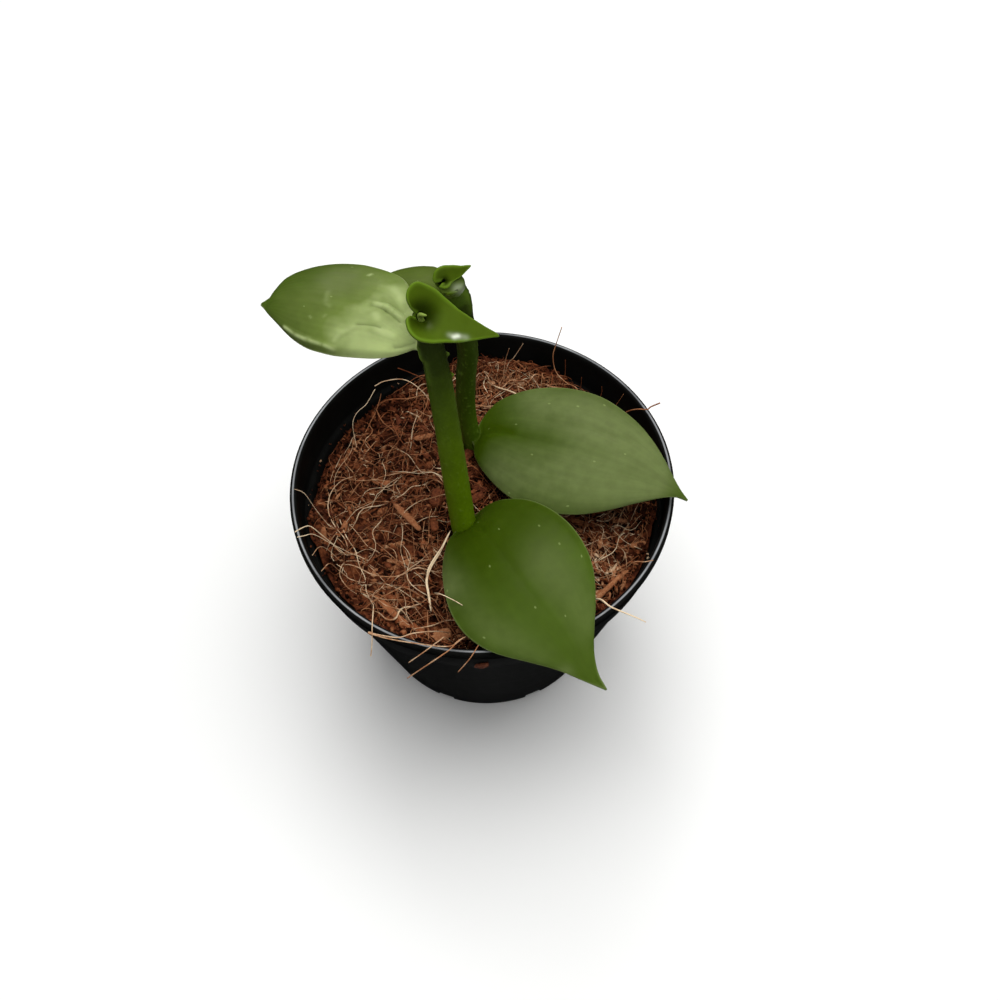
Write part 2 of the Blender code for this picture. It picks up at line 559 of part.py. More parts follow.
def build_substrate(material, stems):
    """Coir plug, strands and chips in one solid, with a plain hole for each stem."""
    rng = np.random.default_rng(23)
    pieces = []
    while len(pieces) < FIBRE_COUNT:
        points = lying_strand(rng)
        if keeps_clear(points):
            pieces.append(tube_mesh("strand", points, FIBRE_RADIUS * np.array(FIBRE_TAPER), 3))
    pieces += [stray_strand(points) for points in STRAY_STRANDS]
    chips = 0
    while chips < CHIP_COUNT:
        ends = bark_chip(rng)
        if keeps_clear(ends.reshape(-1, 3)):
            pieces.append(grid_mesh("chip", ends, closed=True))
            chips += 1
    substrate = add_object("coir_substrate", soil_body(), material)
    helpers = bpy.data.collections.new("strands_and_chips")
    bpy.context.scene.collection.children.link(helpers)
    for mesh in pieces:
        helpers.objects.link(bpy.data.objects.new("strand", mesh))
    modifier = substrate.modifiers.new("strands_and_chips", "BOOLEAN")
    modifier.operation = "UNION"
    modifier.operand_type = "COLLECTION"
    modifier.solver = "EXACT"
    modifier.collection = helpers
    apply_modifiers(substrate)
    for helper in list(helpers.objects):
        bpy.data.objects.remove(helper, do_unlink=True)
    bpy.data.collections.remove(helpers)
    for points, radii in stems:
        buried = smooth_path(points[:BURIED_POINTS], HOLE_RINGS)
        buried[0] -= unit(buried[1] - buried[0]) * CLEARANCE
        hole_radius = radii[:BURIED_POINTS].max() + HOLE_ROOM
        hole = tube_mesh("stem_hole", buried, [hole_radius] * HOLE_RINGS, STEM_SIDES)
        cut_away(substrate, add_object("stem_hole", hole, None))
    keep_main_body(substrate)
    return substrate


def build_stem(name, points, radii, material):
    """A cutting's stem, from its buried end to where the young leaf wraps it."""
    centres = smooth_path(points, STEM_RINGS)
    thick = np.interp(np.linspace(0, 1, STEM_RINGS), np.linspace(0, 1, len(radii)), radii)
    return add_object(name, tube_mesh(name, centres, thick, STEM_SIDES), material)


def clasp_arc(leaf, stem, radii, columns):
    """Points round the side of the stem that the leaf grows from, from its right to its left."""
    height, facing, left, right = leaf["clasp"]
    axis = smooth_path(stem, 200)
    nearest = np.abs(axis[:, 2] - height * MM).argmin()
    radius = np.interp(nearest / 199, np.linspace(0, 1, len(radii)), radii) + CLASP_STAND_OFF * MM
    angles = np.radians(facing + np.interp(np.linspace(-1, 1, columns), [-1, 0, 1], [-right, 0, left]))
    return axis[nearest] + radius * np.stack([np.cos(angles), np.sin(angles), np.zeros(columns)], -1)


def even_path(points, shares):
    """Points of the smooth path at these shares of its length."""
    fine = smooth_path(points, 20 * len(points))
    lengths = np.r_[0, np.cumsum(np.linalg.norm(np.diff(fine, axis=0), axis=1))]
    return np.stack([np.interp(shares * lengths[-1], lengths, fine[:, k]) for k in range(3)], -1)


def blade_grid(leaf, stem, radii, rows, columns):
    """Points of a leaf's middle surface. Each row runs from the right margin to the left one, bowed
    towards the tip and arched up. The first rows bend into the arc that clasps the stem."""
    shares = (1 - np.cos(np.pi * np.linspace(0, 1, rows))) / 2
    across = np.linspace(-1, 1, columns)
    arc = clasp_arc(leaf, stem, radii, columns)
    tip = np.array(leaf["tip"]) * MM
    sideways = unit(np.array(leaf["left"][-1]) - np.array(leaf["right"][-1]))
    end = sideways * LEAF_TIP_HALF_WIDTH * MM
    left = even_path(np.vstack([arc[-1], np.array(leaf["left"]) * MM, tip + end]), shares)
    right = even_path(np.vstack([arc[0], np.array(leaf["right"]) * MM, tip - end]), shares)
    middle = (left + right) / 2
    width = np.linalg.norm(left - right, axis=1)
    forward = unit(np.gradient(middle, axis=0))
    upward = unit(np.cross(left - right, -forward))
    swell = (width / width.max())[:, None]
    bow = forward * leaf["advance"] * MM * swell + upward * leaf["arch"] * MM * swell
    share = ((across + 1) / 2)[None, :, None]
    chords = right[:, None] * (1 - share) + left[:, None] * share
    free = np.clip(shares / CLASP_SHARE, 0, 1)
    free = (free * free * (3 - 2 * free))[:, None, None]
    return chords + (arc - chords[0]) * (1 - free) + bow[:, None] * (1 - across**2)[None, :, None] * free


def build_leaf(name, leaf, stem, radii, material):
    """A fleshy leaf: its middle surface, thickened both ways and thinner at the margin."""
    mesh = grid_mesh(name, blade_grid(leaf, stem, radii, LEAF_ROWS, LEAF_COLUMNS + 1))
    obj = add_object(name, mesh, material)
    group = obj.vertex_groups.new(name="thickness")
    across = np.abs(np.linspace(-1, 1, LEAF_COLUMNS + 1))
    for vertex in mesh.vertices:
        share = 1 - (1 - LEAF_EDGE_SHARE) * across[vertex.index % (LEAF_COLUMNS + 1)] ** 4
        group.add([vertex.index], share, "REPLACE")
    modifier = obj.modifiers.new("thickness", "SOLIDIFY")
    modifier.thickness = leaf["thickness"] * MM
    modifier.offset = 0.0
    modifier.vertex_group = "thickness"
    return obj


def heart_grid(leaf, stem, radii, rows, columns):
    """Middle surface of a young leaf, row by row from the foot of its sheath to its margin. The sheath
    is a split tube on the stem's end. It narrows to the throat and flares into a heart."""
    throat, tip = np.array(leaf["throat"]) * MM, np.array(leaf["tip"]) * MM
    ahead = unit(tip - throat)
    far = np.array(leaf["far_side"])
    far = unit(far - ahead * (far @ ahead))
    up = np.cross(ahead, far)
    angles, reaches = np.array(leaf["outline"]).T
    turn = np.linspace(-1, 1, columns)
    angle = np.sign(turn) * np.abs(turn) ** 1.35 * math.radians(angles[-1])
    cosine, sine = np.cos(angle)[:, None], np.sin(angle)[:, None]
    reach = np.interp(angle, np.radians(angles), reaches) * MM
    narrow = leaf["throat_radius"] * MM

    heading = unit(stem[-1] - stem[-2])
    foot_ahead = unit(ahead - heading * (ahead @ heading))
    foot_far = np.cross(heading, foot_ahead)
    foot_radius = radii[-1] - leaf["thickness"] / 2 * MM
    grid = []
    for rise in (CLEARANCE, 1.0 * MM):
        centre = stem[-1] + heading * rise
        grid.append(centre + foot_radius * (foot_ahead * cosine + foot_far * sine))
    for share in np.linspace(0, 1, rows - 2) ** 1.25:
        radius = narrow + (reach - narrow) * share
        depth = leaf["depth"] * MM * np.exp(-(radius - narrow) / (leaf["depth_reach"] * MM))
        height = leaf["lift"] * MM * np.sin(angle) ** 2 * share**2 - depth
        grid.append(throat + radius[:, None] * (ahead * cosine + far * sine) + up * height[:, None])
    return np.array(grid)


def build_young_leaf(name, leaf, stem, radii, material):
    """A young leaf still wrapped round its shoot, thickened both ways."""
    mesh = grid_mesh(name, heart_grid(leaf, stem, radii, YOUNG_LEAF_ROWS, YOUNG_LEAF_COLUMNS + 1))
    obj = add_object(name, mesh, material)
    modifier = obj.modifiers.new("thickness", "SOLIDIFY")
    modifier.thickness = leaf["thickness"] * MM
    modifier.offset = 0.0
    return obj


def build_growing_tip(material):
    """The pale bud that stands on the front stem's end, in the throat of its young leaf."""
    stem = FRONT[0]
    foot = stem[-1] + unit(stem[-1] - stem[-2]) * CLEARANCE
    centres = smooth_path(np.vstack([foot, np.array(GROWING_TIP_PATH) * MM]), 9)
    steps = np.linspace(0, 1, 9)
    radii = GROWING_TIP_RADIUS * np.sqrt(np.clip(1.04 - steps**2.2, 0, 1))
    return add_object("growing_tip", tube_mesh("growing_tip", centres, radii, 10), material)


def main():
    clear_scene()
    black_plastic = make_material("black_polypropylene", (0.012, 0.012, 0.013), 0.38)
    coir = make_material("coir_and_bark", (0.16, 0.062, 0.028), 0.95)
    stem_green = make_material("stem_green", (0.045, 0.12, 0.012), 0.45)
    leaf_green = make_material("leaf_green", (0.06, 0.15, 0.02), 0.35)
    light_green = make_material("light_leaf_green", (0.22, 0.34, 0.09), 0.35)
    young_green = make_material("young_leaf_green", (0.12, 0.24, 0.01), 0.32)
    bud_green = make_material("bud_green", (0.3, 0.42, 0.14), 0.4)

    build_pot(black_plastic)
    build_substrate(coir, (FRONT, BACK))
    build_stem("front_stem", *FRONT, stem_green)
    build_stem("back_stem", *BACK, stem_green)
    build_leaf("lower_front_leaf", LOWER_FRONT_LEAF, *FRONT, leaf_green)
    build_leaf("lower_back_leaf", LOWER_BACK_LEAF, *BACK, leaf_green)
    build_leaf("upper_front_leaf", UPPER_FRONT_LEAF, *FRONT, light_green)
    build_leaf("upper_back_leaf", UPPER_BACK_LEAF, *BACK, leaf_green)
    build_young_leaf("young_front_leaf", YOUNG_FRONT_LEAF, *FRONT, young_green)
    build_young_leaf("young_back_leaf", YOUNG_BACK_LEAF, *BACK, young_green)
    build_growing_tip(bud_green)


main()
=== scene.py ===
"""Looks of a potted vanilla orchid: fine surfaces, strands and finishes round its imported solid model.

Metres, +Z up, in the frame of the solid model. The file is laid out as an add-on and is run as a script.
Every new surface is worked out with numpy as whole arrays and stands for the solid node that it names.
"""

import math

import bpy
import numpy as np
from bpy.props import FloatProperty, FloatVectorProperty, IntProperty, PointerProperty
from mathutils import Matrix


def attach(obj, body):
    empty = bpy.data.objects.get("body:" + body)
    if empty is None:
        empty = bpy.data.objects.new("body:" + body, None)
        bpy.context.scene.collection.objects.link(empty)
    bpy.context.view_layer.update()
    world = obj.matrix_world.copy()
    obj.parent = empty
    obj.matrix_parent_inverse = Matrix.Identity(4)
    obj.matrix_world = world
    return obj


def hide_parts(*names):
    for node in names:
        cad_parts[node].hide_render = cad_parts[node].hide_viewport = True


bl_info = {
    "name": "Potted vanilla orchid",
    "version": (1, 0, 0),
    "blender": (4, 5, 0),
    "location": "View3D > Sidebar > Orchid",
    "description": "Builds a potted vanilla orchid with its pot, coir, stems and leaves",
    "category": "Object",
}

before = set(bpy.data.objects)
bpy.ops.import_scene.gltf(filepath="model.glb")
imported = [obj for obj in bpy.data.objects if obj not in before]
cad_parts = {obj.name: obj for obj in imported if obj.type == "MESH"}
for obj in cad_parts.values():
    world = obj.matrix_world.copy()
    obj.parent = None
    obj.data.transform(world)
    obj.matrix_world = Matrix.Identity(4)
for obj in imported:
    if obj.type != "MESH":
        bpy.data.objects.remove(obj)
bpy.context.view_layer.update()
MM = 0.001

# Pot, in millimetres. AXIS_GAP is the radius of the small cap that closes a turned surface on its axis.
POT_HEIGHT = 86.0
RIM_RADIUS = 60.0
RIM_DEPTH = 3.4
RIM_LIP = 2.2
WALL = 1.1
SHOULDER_HEIGHT = 73.0
SHOULDER_STEP = 1.8
WALL_TOP_RADIUS = 57.7
BAND_FOOT_RADIUS = 57.2
BAND_FOOT_WALL = 0.6
BASE_INNER_RADIUS = 38.9
BASE_CHAMFER = 1.2
BASE_CHAMFER_RISE = 1.4
CORNER_REACH = 0.5
AXIS_GAP = 0.05
FLOOR_TOP = 2.8
FLOOR_RAISE = 1.2
HUB_RADIUS = 12.0
FOOT_RING_RADIUS = 34.0
SLOT_COUNT = 8
SLOT_WIDTH = 6.0
SLOT_HEIGHT = 5.2
DRAIN_HOLES = 6
DRAIN_HOLE_RADIUS = 3.5
DRAIN_HOLE_SIDES = 40
DRAIN_CIRCLE_RADIUS = 23.0

# How far the rim is out of round, as (waves round it, millimetres, phase), and the pale highlight painted
# on its crest: how far down the painted highlight reaches and how large the patches are that break it up,
# together with the outer wall's dust and painted reflection
RIM_SWAY = [(2, 0.16, 0.7), (5, 0.07, 0.0)]
CREST_HIGHLIGHT_DEPTH = 0.04
HIGHLIGHT_AND_DUST_PATCH = 7.0

# Coir, in millimetres: the same low mound and lumps as the solid. A bank is its direction and half width in
# degrees and its share of the full height. The grain is noise, given by size and height, and has pits.
SOIL_EDGE_HEIGHT = 70.5
SOIL_DOME = 2.6
SOIL_EDGE_RADIUS = 54.6
LUMP_WAVES = 22
LUMP_LONGEST = 34.0
LUMP_SHORTEST = 7.0
LUMP_HEIGHT = 0.42
COIR_BANKS = [(-171, 11, 0.9), (-118, 25, 1.0), (-3, 13, 0.85), (80, 36, 1.0)]
BANK_HEIGHT = 5.0
BANK_START = 0.84
BANK_REACH = 2.1
BANK_REACH_FROM = 0.7
BANK_TOP_SHARE = 0.85
LEDGE_ROOM = 0.45
COIR_GRAIN = [(5.0, 0.75), (2.2, 0.85), (1.0, 0.5)]
PIT_DEPTH = 1.3
COIR_RINGS = 140
COIR_SEGMENTS = 340

# Stems, from the buried end to the tip: points and radii in millimetres
FRONT_STEM = [(-4.9, -13.6, 46.0), (-5.2, -12.6, 58.0), (-5.8, -11.2, 72.0), (-7.1, -8.5, 90.0),
              (-8.7, -4.5, 115.0), (-10.5, -0.3, 140.0), (-12.5, 2.6, 154.6)]
FRONT_STEM_RADII = [3.6, 3.8, 3.85, 3.9, 3.75, 3.55, 3.2]
BACK_STEM = [(-0.6, 20.4, 46.0), (-1.5, 21.3, 58.0), (-2.9, 22.6, 73.0), (-4.5, 23.8, 90.0),
             (-4.0, 24.3, 105.0), (-3.0, 24.4, 120.0), (-4.2, 24.3, 134.0), (-4.9, 24.4, 142.0),
             (-6.1, 24.5, 147.2)]
BACK_STEM_RADII = [2.9, 3.0, 3.05, 3.1, 3.1, 3.15, 3.5, 3.75, 3.5]
FRONT = (np.array(FRONT_STEM), np.array(FRONT_STEM_RADII))
BACK = (np.array(BACK_STEM), np.array(BACK_STEM_RADII))
STEM_RINGS = 240
STEM_SIDES = 72
PATH_STEPS = 200

# Nubs on the stems and ridges below the leaves, in millimetres: start, end, height and half width. The last
# back one is a low swell that paints a highlight on the stem below the sheath, in the nubs' colour
FRONT_LUMPS = [((-7.8, 1.5, 146.4), (-7.8, 1.5, 146.9), 0.8, 0.55),
               ((-7.0, 0.2, 138.9), (-7.0, 0.2, 139.3), 0.9, 0.55),
               ((-15.2, 0.9, 150.2), (-14.7, 0.2, 147.2), 0.55, 1.2),
               ((-13.6, -1.9, 147.0), (-13.0, -2.6, 140.0), 0.22, 1.1)]
BACK_LUMPS = [((-7.6, 23.6, 141.0), (-6.6, 22.8, 134.0), 0.6, 1.2),
              ((-3.2, 20.8, 134.6), (-3.4, 20.8, 130.0), 0.16, 0.9),
              ((-2.2, 22.6, 147.0), (-0.8, 22.6, 140.0), 0.3, 1.3)]

# Leaves, in millimetres: the margins on the left and the right, seen from the stem.
# clasp is the height of the base on its stem, the direction that the leaf leaves in, and how far round
# the stem its base reaches to the left and the right, in degrees. advance and arch are how far the middle
# bows to the tip and up, and roll is how far the left and the right margin turn down. creases are folds in
# the blade: start and end as (along, across) shares, height and half width. lights are painted highlights,
# paler streaks on the lit ridges of the creases, given alike with their strength. blooms are painted light,
# given alike: patches of greyish sheen, or of painted shade where the strength is negative, as in creases
# and by the clasp.
LOWER_FRONT_LEAF = {
    "clasp": (77.2, -56, 88, 80),
    "left": [(-1.4, -7.6, 78.8), (2.3, -6.0, 81.0), (7.1, -5.3, 82.6), (14.0, -7.4, 85.5),
             (20.7, -12.7, 88.5), (26.7, -20.4, 91.0), (30.8, -29.7, 92.6), (32.3, -38.2, 93.2),
             (32.2, -47.0, 93.0), (31.4, -54.6, 92.2), (30.9, -61.5, 90.6), (31.8, -67.3, 88.8)],
    "right": [(-9.0, -14.0, 77.4), (-11.0, -18.0, 78.8), (-12.3, -24.5, 80.6), (-12.6, -31.0, 82.5),
              (-11.7, -39.0, 84.7), (-9.7, -46.6, 86.5), (-6.2, -53.2, 87.7), (-1.3, -58.0, 88.3),
              (4.3, -61.1, 88.7), (12.8, -63.9, 89.0), (20.6, -66.5, 89.0), (27.6, -69.6, 88.2)],
    "tip": (33.9, -71.8, 86.8),
    "advance": 4.2, "arch": 1.6, "thickness": 1.3, "roll": (0.35, 0.45), "seed": 11,
    "lights": [],
    "sheen_and_shade_patches": [((0.3, 0.0), (0.9, -0.05), -0.15, 2.0), ((0.02, 0.2), (0.1, 0.5), -0.3, 3.0),
               ((0.1, -0.75), (0.3, -0.9), 0.6, 5.0), ((0.3, -0.7), (0.5, -0.75), 0.3, 5.0),
               ((0.45, 0.4), (0.75, 0.4), 0.35, 7.0), ((0.6, -0.6), (0.75, -0.5), 0.35, 6.0),
               ((0.86, -0.25), (0.9, -0.3), 0.6, 3.0)],
    "creases": [((0.03, 0.0), (0.16, 0.02), -0.55, 1.5), ((0.62, 0.12), (0.98, 0.02), -0.3, 2.2),
                ((0.86, -0.55), (0.97, -0.25), 0.25, 1.0)],
}
LOWER_BACK_LEAF = {
    "clasp": (77.6, -30, 85, 62),
    "left": [(-0.6, 26.6, 78.6), (2.2, 30.0, 80.6), (6.4, 32.8, 83.0), (13.0, 33.8, 86.0),
             (20.3, 33.0, 89.0), (29.6, 29.8, 92.3), (39.2, 24.4, 94.2), (47.6, 15.9, 94.9),
             (52.8, 8.1, 94.7), (56.2, 1.0, 93.7), (58.2, -4.2, 92.7), (60.3, -8.8, 91.7)],
    "right": [(-2.6, 18.6, 77.3), (-2.4, 14.8, 77.4), (-0.4, 9.2, 78.1), (3.4, 2.8, 79.3),
              (8.2, -3.4, 80.9), (14.8, -8.8, 83.0), (22.0, -12.4, 85.0), (30.0, -14.2, 86.9),
              (38.6, -13.9, 88.5), (47.0, -12.5, 89.8), (54.2, -11.4, 90.6), (58.6, -11.5, 90.9)],
    "tip": (62.4, -12.5, 90.5),
    "advance": 4.0, "arch": 1.8, "thickness": 1.3, "roll": (0.4, 0.5), "seed": 14,
    "lights": [],
    "sheen_and_shade_patches": [((0.3, 0.62), (0.8, 0.45), 0.9, 9.0), ((0.24, -0.62), (0.8, -0.3), 0.95, 10.0),
               ((0.5, 0.05), (0.8, 0.0), 0.5, 7.0), ((0.06, 0.0), (0.6, 0.1), -0.22, 2.2),
               ((0.02, -0.1), (0.12, -0.6), -0.3, 4.0)],
    "creases": [((0.03, 0.0), (0.2, 0.05), -0.5, 1.6), ((0.2, 0.3), (0.75, 0.42), -0.16, 1.3),
                ((0.25, -0.1), (0.8, -0.12), -0.14, 1.3)],
}
UPPER_FRONT_LEAF = {
    "clasp": (147.2, 140, 50, 60),
    "left": [(-16.2, 2.6, 147.5), (-18.4, 1.8, 147.8), (-21.6, 0.5, 148.0), (-26.6, -0.1, 147.9),
             (-32.4, 0.4, 147.8), (-38.1, 1.1, 147.9), (-42.5, 2.4, 148.0), (-46.2, 4.0, 148.0),
             (-49.7, 6.7, 147.9), (-52.7, 10.0, 147.8), (-55.3, 13.8, 147.5), (-57.6, 17.5, 147.2)],
    "right": [(-14.4, 7.6, 149.0), (-16.4, 12.8, 150.2), (-17.2, 18.0, 151.0), (-18.2, 22.3, 151.4),
              (-20.2, 25.1, 151.6), (-23.2, 26.9, 151.8), (-26.8, 28.2, 152.2), (-31.7, 29.2, 152.8),
              (-38.6, 29.8, 152.6), (-45.4, 29.5, 151.6), (-51.5, 27.8, 150.2), (-54.8, 24.2, 149.2),
              (-56.4, 21.8, 148.4)],
    "tip": (-59.4, 20.3, 147.0),
    "advance": 1.5, "arch": 2.6, "thickness": 1.2, "roll": (1.5, 0.3), "seed": 17,
    "sheen_and_shade_patches": [((0.36, -0.07), (0.29, -0.08), -0.4, 0.45), ((0.29, -0.08), (0.2, -0.09), -0.36, 0.55),
               ((0.33, -0.21), (0.21, -0.29), -0.26, 0.5), ((0.39, 0.38), (0.28, 0.27), -0.42, 0.42),
               ((0.17, 0.36), (0.06, 0.06), -0.4, 0.5), ((0.3, 0.02), (0.22, 0.04), -0.14, 0.9),
               ((0.78, 0.68), (0.68, 0.83), -0.3, 0.6), ((0.68, 0.83), (0.58, 0.93), -0.32, 0.7),
               ((0.58, 0.93), (0.42, 0.99), -0.28, 0.6), ((0.5, -0.8), (0.85, -0.6), -0.2, 6.0)],
    # lights: painted highlights on the lit ridges of the creases
    "lights": [((0.37, -0.1), (0.31, -0.15), 0.5, 0.6), ((0.33, -0.14), (0.25, -0.165), 0.45, 0.65),
               ((0.27, -0.16), (0.18, -0.18), 0.4, 0.6), ((0.36, -0.6), (0.24, -0.42), 0.4, 1.3),
               ((0.345, 0.05), (0.3, 0.19), 0.4, 1.2), ((0.3, 0.36), (0.18, 0.19), 0.4, 0.8),
               ((0.77, 0.57), (0.67, 0.735), 0.65, 0.28), ((0.69, 0.71), (0.59, 0.82), 0.75, 0.3),
               ((0.61, 0.8), (0.52, 0.86), 0.6, 0.28), ((0.53, 0.85), (0.46, 0.9), 0.7, 0.3),
               ((0.48, 0.8), (0.45, 0.6), 0.25, 0.5), ((0.46, 0.64), (0.39, 0.4), 0.2, 0.5),
               ((0.578, -0.2), (0.56, 0.11), 0.14, 0.6), ((0.57, 0.07), (0.53, 0.15), 0.12, 0.5),
               ((0.467, -0.7), (0.455, -0.8), 0.5, 0.32), ((0.17, 0.46), (0.04, 0.12), 0.35, 0.6),
               ((0.618, 0.35), (0.6, 0.42), 0.2, 0.3), ((0.54, 0.28), (0.552, 0.38), 0.14, 0.4)],
    "creases": [((0.36, -0.07), (0.29, -0.08), -0.3, 0.6), ((0.29, -0.08), (0.2, -0.09), -0.3, 0.7),
                ((0.37, -0.1), (0.3, -0.15), 0.28, 0.8), ((0.3, -0.15), (0.19, -0.18), 0.28, 0.8),
                ((0.33, -0.21), (0.21, -0.29), -0.26, 0.7), ((0.36, -0.55), (0.24, -0.42), 0.25, 1.6),
                ((0.345, 0.05), (0.3, 0.19), 0.22, 1.5), ((0.39, 0.38), (0.28, 0.27), -0.24, 0.5),
                ((0.3, 0.36), (0.18, 0.19), 0.22, 1.0), ((0.17, 0.36), (0.06, 0.06), -0.3, 0.7),
                ((0.75, 0.613), (0.6, 0.81), 0.35, 0.7), ((0.6, 0.81), (0.47, 0.89), 0.35, 0.7),
                ((0.475, 0.774), (0.456, 0.623), 0.2, 0.8), ((0.456, 0.623), (0.4, 0.42), 0.2, 0.9),
                ((0.574, -0.14), (0.55, 0.12), 0.14, 0.9), ((0.12, -0.45), (0.24, -0.5), -0.2, 0.9)],
}
UPPER_BACK_LEAF = {
    "clasp": (140.6, 172, 60, 60),
    "left": [(-9.8, 21.4, 141.0), (-13.4, 19.6, 141.4), (-18.6, 18.8, 141.2), (-24.2, 19.6, 140.0),
             (-29.6, 21.6, 138.4), (-34.0, 24.6, 136.4)],
    "right": [(-8.4, 29.2, 142.4), (-8.6, 33.2, 143.0), (-10.8, 36.2, 143.2), (-14.0, 37.1, 143.0),
              (-17.7, 37.3, 142.6), (-21.7, 37.1, 141.8), (-24.4, 36.6, 141.0), (-27.8, 35.5, 139.6),
              (-31.0, 33.8, 137.8), (-34.4, 31.4, 136.0)],
    "tip": (-37.6, 28.4, 134.6),
    "advance": 1.5, "arch": 1.6, "thickness": 1.1, "roll": (0.3, 0.3), "seed": 21,
    "lights": [],
    "sheen_and_shade_patches": [],
    "creases": [((0.05, 0.0), (0.9, 0.0), -0.25, 1.2)],
}
LEAF_EDGE_SHARE = 0.55
CLASP_SHARE = 0.2
VEIN_SPACING = 1.7

# How much finer the surface of the light upper leaf is, for its narrow creases
CREASED_DETAIL = 1.8

# Young leaves, in millimetres: a split sheath round the growing tip that opens into a heart.
# outline is (angle from the tip's direction in degrees, distance from the throat), near side first.
# depth and depth_reach are the hollow at the throat, and lift raises the lobes at its sides. The throat's
# painted shade fades out between the two distances in shaded. sheen lists the painted highlights, pale
# silvery patches: start, end, strength and half width. SHEATH_REACH is how far a sheath goes down its stem
# and on past the stem's end.
SHEATH_REACH = 1.6
YOUNG_FRONT_LEAF = {
    "throat": (-13.4, 3.7, 160.6),
    "tip": (6.4, 1.4, 153.7),
    "far_side": (0.08, 0.93, 0.36),
    "outline": [(-164, 3.2), (-150, 4.5), (-129, 5.6), (-108, 6.8), (-87, 7.7), (-64, 8.2), (-38, 9.6),
                (-18, 13.3), (-8, 16.6), (-3, 19.2), (0, 21.2), (3, 19.0), (6, 16.3), (13, 12.7), (27, 9.5),
                (54, 7.6), (92, 7.8), (115, 8.7), (134, 7.7), (149, 6.0), (158, 4.2), (164, 3.3)],
    "throat_radius": 1.9, "depth": 2.4, "depth_reach": 2.4, "lift": 1.3, "thickness": 0.95,
    "shaded": (2.0, 6.6),
    "painted_highlight": [((-5.5, -1.0, 156.4), (-4.6, -0.5, 156.2), 0.75, 0.65),
              ((-6.6, -0.6, 156.9), (-2.4, -0.5, 155.6), 0.2, 0.8)],
    "rows": 80, "columns": 150, "seed": 24,
}
YOUNG_BACK_LEAF = {
    "throat": (-8.4, 23.15, 151.6),
    "tip": (-1.0, 27.25, 152.9),
    "far_side": (-0.2, 0.6, 0.75),
    "outline": [(-162, 2.1), (-120, 2.1), (-60, 2.2), (-38, 2.5), (-24, 3.4), (-15, 4.8), (-6, 6.8),
                (0, 8.8), (5, 8.0), (15, 6.2), (41, 4.7), (68, 4.3), (95, 4.1), (123, 3.6), (146, 3.2),
                (162, 2.6)],
    "throat_radius": 0.95, "depth": 0.3, "depth_reach": 1.5, "lift": 0.6, "thickness": 0.9,
    "shaded": (0.2, 2.6),
    "painted_highlight": [((-5.2, 22.5, 149.4), (-3.9, 22.8, 148.4), 0.16, 1.2),
              ((-3.9, 22.8, 148.4), (-2.4, 22.4, 145.8), 0.15, 1.3)],
    "rows": 70, "columns": 120, "seed": 27,
}
GROWING_TIP_PATH = [(-13.3, 3.6, 156.4), (-14.3, 4.8, 158.2), (-14.0, 4.5, 159.5), (-12.4, 3.5, 160.2)]
GROWING_TIP_RADIUS = 0.85
GROWING_TIP_RINGS = 40
GROWING_TIP_SIDES = 24

# Where the strands of a mat lie: their sector in degrees and the share of the coir's radius inside it
WHOLE_BED = ((-180, 180), 0.0)
REAR_BANK = ((42, 116), 0.87)

# Mats of fibre: the property that says how many strands and how many mats share them, points along a
# strand, ranges of length and rise in millimetres, share with a free end, thickness, mean and spread of
# tone, and where they lie
FIBRE_MATS = [
    ("coir_fibres_short_a", "short_strands", 2, 6, (2.5, 7), (0.1, 1.0), 0.5, 1.15, (0.52, 0.2), WHOLE_BED),
    ("coir_fibres_short_b", "short_strands", 2, 7, (4, 11), (0.2, 1.5), 0.5, 1.0, (0.6, 0.17), WHOLE_BED),
    ("coir_fibres_long", "long_strands", 1, 13, (12, 32), (0.6, 2.6), 0.3, 1.0, (0.65, 0.16), WHOLE_BED),
    ("coir_fibres_pale", "pale_strands", 1, 18, (16, 42), (1.6, 3.8), 0.4, 1.15, (0.82, 0.1), WHOLE_BED),
    ("coir_fibres_on_bank", "bank_strands", 1, 12, (6, 15), (0.8, 3.4), 0.4, 1.1, (0.52, 0.16), REAR_BANK),
]

# How strands lie: spread of their bend and wave in radians, layers above the coir, depth of the sunk ends,
# room to the stems, how far past the coir's edge they may reach, and the sides that each has
STRAND_BEND = 1.1
STRAND_WAVE = 0.35
STRAND_LAYERS = (-0.3, 0.9)
STRAND_SINK = 1.3
STRAND_ROOM = 0.5
STRAND_OVERHANG = 0.2
STRAND_SIDES = 3

# Crumbs of pith: points along one, sides, and ranges of half length, width and thickness in millimetres.
# Below are the spread of their tilt in radians, heights above the coir, mean and spread of tone, and the
# lightest tone.
CRUMB_MATS = [
    ("coir_crumbs_fine", 3, 4, ((0.25, 0.8), (0.2, 0.55), (0.15, 0.45))),
    ("coir_crumbs_coarse", 4, 5, ((0.4, 1.5), (0.3, 1.0), (0.2, 0.75))),
]
CRUMB_TILT = 0.8
CRUMB_LIFT = (-0.2, 1.3)
CRUMB_TONE = (0.38, 0.2)
CRUMB_LIGHTEST = 0.72

# Room of crumbs and splinters to the stems, and how far past the coir's edge they may reach
BAR_ROOM = 0.6
BAR_OVERHANG = 0.3

# Splinters of bark, given like the crumbs
SPLINTER_RINGS = 6
SPLINTER_SIDES = 7
SPLINTER_SIZES = ((0.8, 3.6), (0.35, 1.2), (0.2, 0.5))
SPLINTER_TILT = 0.3
SPLINTER_LIFT = (0.1, 1.4)
SPLINTER_TONE = (0.46, 0.17)
SPLINTER_LIGHTEST = 0.7

